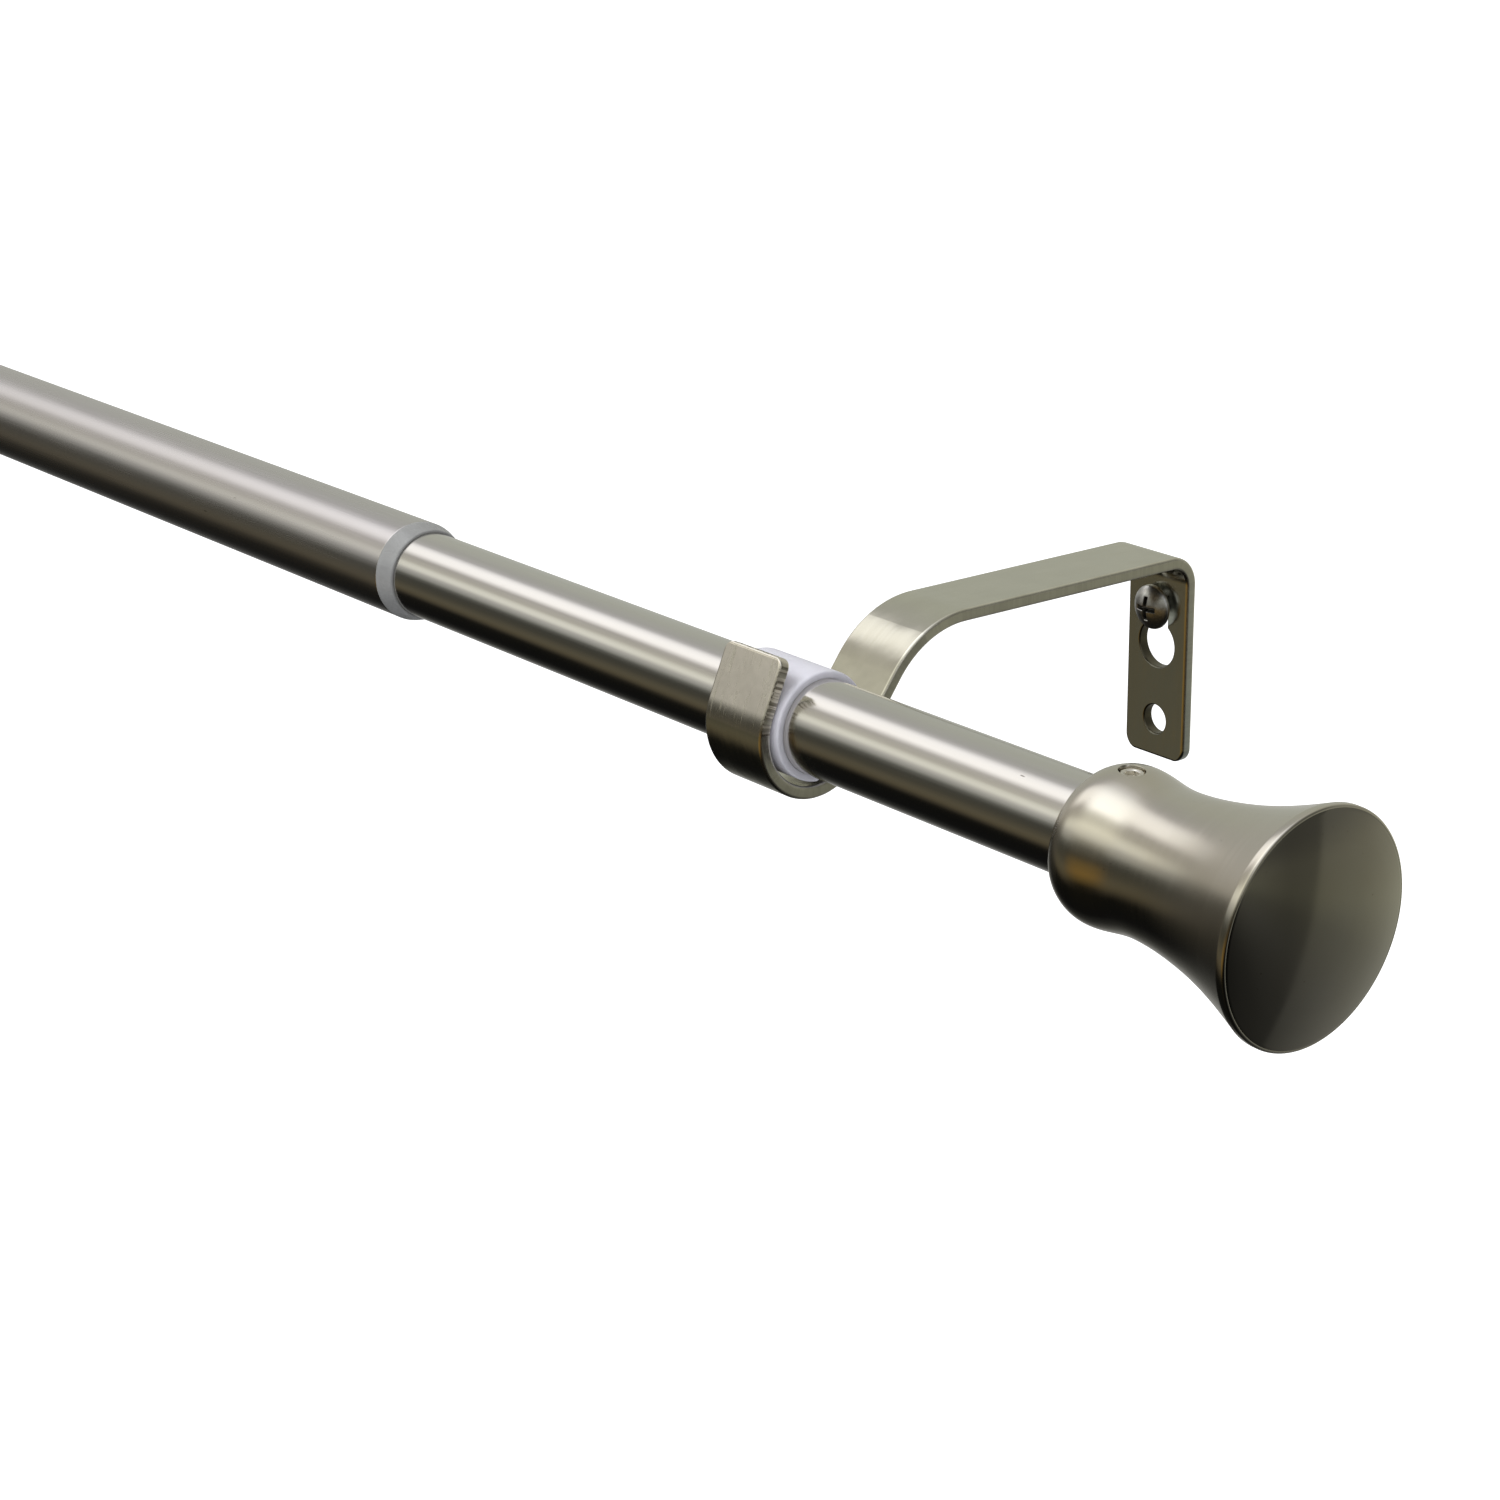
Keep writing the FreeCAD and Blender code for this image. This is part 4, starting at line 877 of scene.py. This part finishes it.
def bracket(name, x0, z0):
    verts, rows = [], []
    n = len(PATH)
    for i, p in enumerate(PATH):
        a = PATH[max(0, i - 1)]
        b = PATH[min(n - 1, i + 1)]
        d = Vector((b[0] - a[0], b[1] - a[1])).normalized()
        nrm = Vector((-d.y, d.x))
        s = CUM[i]
        w, t = WIDE, THICK
        for e, corner in ((s, 2.8), (TOTAL - s, 1.8)):
            if e < corner:
                w = min(w, WIDE - (corner - math.sqrt(max(0.0, corner ** 2 - (corner - e) ** 2))))
            if e < EDGE:
                k = EDGE - math.sqrt(max(0.0, EDGE ** 2 - (EDGE - e) ** 2))
                t = THICK - k
        row = []
        for u, v in section(w, t, EDGE if t > THICK - 1e-6 else max(0.1, EDGE - (THICK - t))):
            row.append(len(verts))
            verts.append((x0 + u, ROD_Y + p[0] + nrm.x * v, z0 + p[1] + nrm.y * v))
        rows.append(row)
    faces = grid(rows, False, True)
    faces.append(tuple(rows[0]))
    faces.append(tuple(reversed(rows[-1])))
    ob = to_object(name, verts, faces)

    def keyhole(e):
        big, slot = 4.3 + e, 2.5 + e
        ang = math.asin(slot / big)
        pts = []
        for k in range(25):
            t = PI - PI * k / 24
            pts.append((slot * math.cos(t), 1.2 + slot * math.sin(t)))
        for k in range(57):
            t = PI / 2 - ang - (2 * PI - 2 * ang) * k / 56
            pts.append((big * math.cos(t), -6.1 + big * math.sin(t)))
        return pts

    def round_hole(e):
        return [((2.7 + e) * math.cos(-2 * PI * k / 56), -20.5 + (2.7 + e) * math.sin(-2 * PI * k / 56)) for k in range(56)]

    cutters = []
    for shape, soft in ((keyhole, 0.30), (round_hole, 0.30)):
        cv, cr = [], []
        for y, e in ((-3.4, soft), (-2.25, soft), (-2.17, soft * 0.45), (-2.0, soft * 0.12), (-1.85, 0.0), (-0.3, 0.0), (-0.12, 0.08), (0.0, 0.2), (1.0, 0.2)):
            r = []
            for a, b in shape(e):
                r.append(len(cv))
                cv.append((x0 + a, y, z0 + b))
            cr.append(r)
        cf = grid(cr, False, True) + [tuple(reversed(cr[0])), tuple(cr[-1])]
        cutters.append(to_object(name + "_" + shape.__name__, cv, cf))
    carve(ob, cutters)
    ob["sharp"] = 34.0
    # positions on the strip, and masks for its edges, its sheared sides and its tip
    me = ob.data
    co = np.zeros(len(me.vertices) * 3)
    me.vertices.foreach_get("co", co)
    co = co.reshape(-1, 3) / MM
    path = np.array(PATH) + [ROD_Y, z0]
    cum = np.array(CUM)
    strip, edge, side, tipv, bore, plate, bend = [], [], [], [], [], [], []
    # the middles of the two outer bends of the arm
    folds = [CUM[min(range(len(PATH)), key=lambda i: abs(PATH[i][0] - y) + (0.0 if PATH[i][1] > 0 else 99.0))] for y in (24.0, 84.0)]
    a, b = path[:-1], path[1:]
    ab = b - a
    ln = (ab ** 2).sum(1)
    for c in co:
        q = c[1:]
        t = np.clip(((q - a) * ab).sum(1) / ln, 0, 1)
        foot = a + ab * t[:, None]
        d2 = ((q - foot) ** 2).sum(1)
        k = int(d2.argmin())
        s = cum[k] + t[k] * math.sqrt(ln[k])
        dx = c[0] - x0
        d = math.sqrt(d2[k])
        strip.append((dx * MM, s * MM, d * MM))
        in_w, in_t = WIDE - abs(dx), THICK - d
        near_end = min(s, TOTAL - s)
        e = 1.0 if (in_w < 0.40 and in_t < 0.40) or (near_end < 0.4 and in_t < 0.4) else 0.0
        edge.append(e)
        side.append(1.0 if in_w < 0.12 or near_end < 0.1 else 0.0)
        tipv.append(1.0 if s > TOTAL - 13.0 else 0.0)
        plate.append(1.0 - min(1.0, max(0.0, (s - 26.0) / 10.0)))
        bend.append(max(0.0, 1.0 - abs(s - folds[0]) / 13.0))
        # walls of the screw holes, which the finish paints dark as shade
        bore.append(1.0 if s < 32.0 and in_w > 1.0 and in_t > 0.06 and near_end > 3.0 else 0.0)
    at = me.attributes.new("strip", "FLOAT_VECTOR", "POINT")
    at.data.foreach_set("vector", np.array(strip).ravel())
    for nm, vals in (("edge", edge), ("side", side), ("tip", tipv), ("bore", bore), ("plate", plate), ("bend", bend)):
        at = me.attributes.new(nm, "FLOAT", "POINT")
        at.data.foreach_set("value", vals)
    return ob


finish_piece(bracket("right_bracket_strip", 0.0, 0.0), M_STRIP, "right_bracket", "right_bracket")
finish_piece(bracket("left_bracket_strip", -676.3, 0.8), M_STRIP, "left_bracket", "left_bracket")

# ------------------------------------------------------------------ stage, light and camera

scene = bpy.context.scene
scene.view_settings.view_transform = "Standard"
scene.view_settings.look = "None"
scene.view_settings.exposure = 0.0
scene.view_settings.gamma = 1.0

me = bpy.data.meshes.new("floor")
me.from_pydata([(-30, -30, -1.1), (30, -30, -1.1), (30, 30, -1.1), (-30, 30, -1.1)], [], [(0, 1, 2, 3)])
floor = bpy.data.objects.new("floor", me)
scene.collection.objects.link(floor)
fm = bpy.data.materials.new("pale_floor")
fm.use_nodes = True
fb = fm.node_tree.nodes["Principled BSDF"]
fb.inputs["Base Color"].default_value = (0.9, 0.9, 0.9, 1)
fb.inputs["Roughness"].default_value = 0.9
fb.inputs["Emission Color"].default_value = (1, 1, 1, 1)
fb.inputs["Emission Strength"].default_value = 0.9
me.materials.append(fm)
floor.visible_glossy = False
floor.visible_diffuse = False

# the studio: soft boxes that run along the rod, seen only in the metal. The angle is measured
# round the rod, from the wall (0) over the top (90) to the room (180) and the floor (270).
ALONG = [  # towards the far end of the rod
    (0, (0.48, 0.49, 0.44)),
    (40, (0.49, 0.50, 0.445)),
    (68, (0.475, 0.475, 0.455)),
    (79, (0.55, 0.54, 0.545)),
    (86, (1.10, 1.08, 1.10)),
    (94, (1.36, 1.34, 1.35)),
    (108, (1.40, 1.37, 1.36)),
    (115, (0.95, 0.92, 0.91)),
    (121, (0.50, 0.48, 0.45)),
    (135, (0.56, 0.54, 0.48)),
    (142, (0.90, 0.89, 0.80)),
    (150, (0.98, 0.97, 0.88)),
    (157, (0.56, 0.55, 0.52)),
    (166, (0.36, 0.36, 0.335)),
    (171, (0.13, 0.13, 0.115)),
    (180, (0.055, 0.054, 0.045)),
    (192, (0.070, 0.066, 0.050)),
    (206, (0.118, 0.104, 0.070)),
    (215, (0.105, 0.088, 0.055)),
    (223, (0.04, 0.034, 0.024)),
    (230, (0.006, 0.006, 0.005)),
    (268, (0.006, 0.006, 0.006)),
    (284, (0.026, 0.026, 0.024)),
    (298, (0.10, 0.10, 0.094)),
    (312, (0.30, 0.30, 0.29)),
    (326, (0.48, 0.48, 0.46)),
    (345, (0.54, 0.54, 0.51)),
    (360, (0.48, 0.49, 0.44)),
]
ACROSS = [  # straight across the rod and towards its near end
    (0, (0.46, 0.455, 0.40)),
    (45, (0.48, 0.475, 0.41)),
    (70, (0.56, 0.555, 0.53)),
    (82, (0.92, 0.92, 0.96)),
    (96, (1.60, 1.62, 1.66)),
    (118, (1.90, 1.90, 1.90)),
    (126, (0.95, 0.94, 0.88)),
    (133, (0.80, 0.79, 0.70)),
    (144, (1.15, 1.13, 1.00)),
    (154, (0.85, 0.84, 0.76)),
    (163, (0.30, 0.29, 0.25)),
    (170, (0.12, 0.115, 0.095)),
    (182, (0.07, 0.060, 0.040)),
    (190, (0.17, 0.115, 0.042)),
    (203, (0.24, 0.145, 0.040)),
    (211, (0.13, 0.085, 0.028)),
    (219, (0.010, 0.009, 0.006)),
    (268, (0.006, 0.006, 0.006)),
    (284, (0.03, 0.03, 0.028)),
    (300, (0.12, 0.12, 0.112)),
    (318, (0.32, 0.32, 0.295)),
    (330, (0.42, 0.42, 0.36)),
    (338, (0.62, 0.62, 0.50)),
    (350, (0.64, 0.63, 0.52)),
    (360, (0.46, 0.455, 0.40)),
]
END = [  # the far end wall itself
    (0, (0.48, 0.475, 0.44)),
    (60, (0.50, 0.49, 0.46)),
    (95, (0.52, 0.50, 0.47)),
    (140, (0.42, 0.40, 0.36)),
    (165, (0.16, 0.152, 0.135)),
    (185, (0.085, 0.080, 0.068)),
    (215, (0.080, 0.073, 0.060)),
    (245, (0.035, 0.032, 0.025)),
    (275, (0.022, 0.022, 0.020)),
    (300, (0.12, 0.12, 0.115)),
    (325, (0.40, 0.40, 0.38)),
    (360, (0.48, 0.475, 0.44)),
]
world = bpy.data.worlds.new("studio")
scene.world = world
world.use_nodes = True
wt = world.node_tree
wt.nodes.clear()


def wn(kind, **p):
    n = wt.nodes.new(kind)
    for k, v in p.items():
        setattr(n, k, v)
    return n


def wmath(op, a, b=None, clamp=False):
    n = wn("ShaderNodeMath", operation=op, use_clamp=clamp)
    for i, v in enumerate((a, b)):
        if v is None:
            continue
        if isinstance(v, (int, float)):
            n.inputs[i].default_value = v
        else:
            wt.links.new(v, n.inputs[i])
    return n.outputs[0]


tc = wn("ShaderNodeTexCoord")
sep = wn("ShaderNodeSeparateXYZ")
wt.links.new(tc.outputs["Generated"], sep.inputs[0])
turn = wmath("ARCTAN2", sep.outputs[2], sep.outputs[1])
turn = wmath("DIVIDE", turn, 2 * PI)
turn = wmath("FRACT", wmath("ADD", turn, 1.0))


def strip_lights(stops):
    ramp = wn("ShaderNodeValToRGB")
    cr = ramp.color_ramp
    cr.interpolation = "LINEAR"
    cr.elements[0].position = 0.0
    cr.elements[0].color = (*[c / 2 for c in stops[0][1]], 1)
    cr.elements[1].position = 1.0
    cr.elements[1].color = (*[c / 2 for c in stops[-1][1]], 1)
    for a, c in stops[1:-1]:
        e = cr.elements.new(a / 360.0)
        e.color = (*[v / 2 for v in c], 1)
    wt.links.new(turn, ramp.inputs[0])
    return ramp.outputs[0]


def wblend(fac, a, b):
    n = wn("ShaderNodeMix", data_type="RGBA")
    wt.links.new(fac, n.inputs[0])
    wt.links.new(a, n.inputs[6])
    wt.links.new(b, n.inputs[7])
    return n.outputs[2]


def wrange(value, a, b, c, d):
    n = wn("ShaderNodeMapRange")
    for i, v in enumerate((a, b, c, d)):
        n.inputs[i + 1].default_value = v
    wt.links.new(value, n.inputs[0])
    return n.outputs[0]


room = wblend(wrange(sep.outputs[0], -0.64, -0.42, 0.0, 1.0), strip_lights(ALONG), strip_lights(ACROSS))
room = wblend(wrange(sep.outputs[0], -0.80, -0.95, 0.0, 1.0), room, strip_lights(END))
# the near end of the room is dim, and dimmer in front of the wall than beside it
near = wrange(sep.outputs[0], -0.15, 0.45, 1.0, 0.58)
nearer = wrange(sep.outputs[0], 0.45, 0.85, 1.0, 0.70)
slant = wmath("SUBTRACT", sep.outputs[1], wmath("MULTIPLY", wmath("ADD", sep.outputs[2], 0.4), 0.25))
beside = wmath("MULTIPLY", wrange(slant, 0.57, 0.595, 0.58, 1.0), wrange(sep.outputs[1], 0.20, 0.48, 1.65, 1.0))
beside = wmath("ADD", wmath("MULTIPLY", wmath("SUBTRACT", beside, 1.0), wrange(sep.outputs[0], 0.15, 0.45, 0.0, 1.0)), 1.0)
dimmed = wmath("MULTIPLY", wmath("MULTIPLY", near, nearer), beside)
mirror = wn("ShaderNodeBackground")
wt.links.new(room, mirror.inputs["Color"])
wt.links.new(wmath("MULTIPLY", dimmed, 2.0), mirror.inputs["Strength"])
soft = wn("ShaderNodeBackground")
soft.inputs["Color"].default_value = (0.95, 0.96, 1.0, 1)
soft.inputs["Strength"].default_value = 0.42
white = wn("ShaderNodeBackground")
white.inputs["Color"].default_value = (1, 1, 1, 1)
white.inputs["Strength"].default_value = 1.0
lp = wn("ShaderNodeLightPath")
mix1 = wn("ShaderNodeMixShader")
wt.links.new(lp.outputs["Is Diffuse Ray"], mix1.inputs[0])
wt.links.new(mirror.outputs[0], mix1.inputs[1])
wt.links.new(soft.outputs[0], mix1.inputs[2])
mix2 = wn("ShaderNodeMixShader")
wt.links.new(lp.outputs["Is Camera Ray"], mix2.inputs[0])
wt.links.new(mix1.outputs[0], mix2.inputs[1])
wt.links.new(white.outputs[0], mix2.inputs[2])
wo = wn("ShaderNodeOutputWorld")
wt.links.new(mix2.outputs[0], wo.inputs["Surface"])


def area(name, at, to, size, power, color=(1, 1, 1)):
    d = bpy.data.lights.new(name, "AREA")
    d.shape = "RECTANGLE"
    d.size, d.size_y = size
    d.energy = power
    d.color = color
    o = bpy.data.objects.new(name, d)
    scene.collection.objects.link(o)
    o.location = at
    o.rotation_mode = "QUATERNION"
    o.rotation_quaternion = (Vector(to) - Vector(at)).to_track_quat("-Z", "Y")
    o.visible_glossy = False
    return o


area("key", (-0.6, -1.1, 1.7), (-0.1, -0.09, 0.0), (1.6, 1.0), 26.0)
area("fill", (1.3, -1.3, 0.5), (0.0, -0.09, 0.0), (1.2, 1.2), 7.0, (0.97, 0.98, 1.0))

psi, phi, rho, focal = 0.8969, 0.3426, -0.0139, 3344.4
R = Vector((math.cos(psi), math.sin(psi), 0))
F = Vector((-math.sin(psi) * math.cos(phi), math.cos(psi) * math.cos(phi), -math.sin(phi)))
Dn = F.cross(R)
X = R * math.cos(rho) - Dn * math.sin(rho)
Y = R * math.sin(rho) + Dn * math.cos(rho)
cam_data = bpy.data.cameras.new("camera")
cam_data.sensor_width = 36.0
cam_data.lens = focal * 36.0 / 1500.0
cam_data.clip_start, cam_data.clip_end = 0.01, 100.0
cam = bpy.data.objects.new("camera", cam_data)
scene.collection.objects.link(cam)
rot = Matrix((X, -Y, -F)).transposed()
cam.matrix_world = Matrix.Translation((0.4042, -0.4195, 0.1801)) @ rot.to_4x4()
scene.camera = cam

bpy.context.view_layer.update()
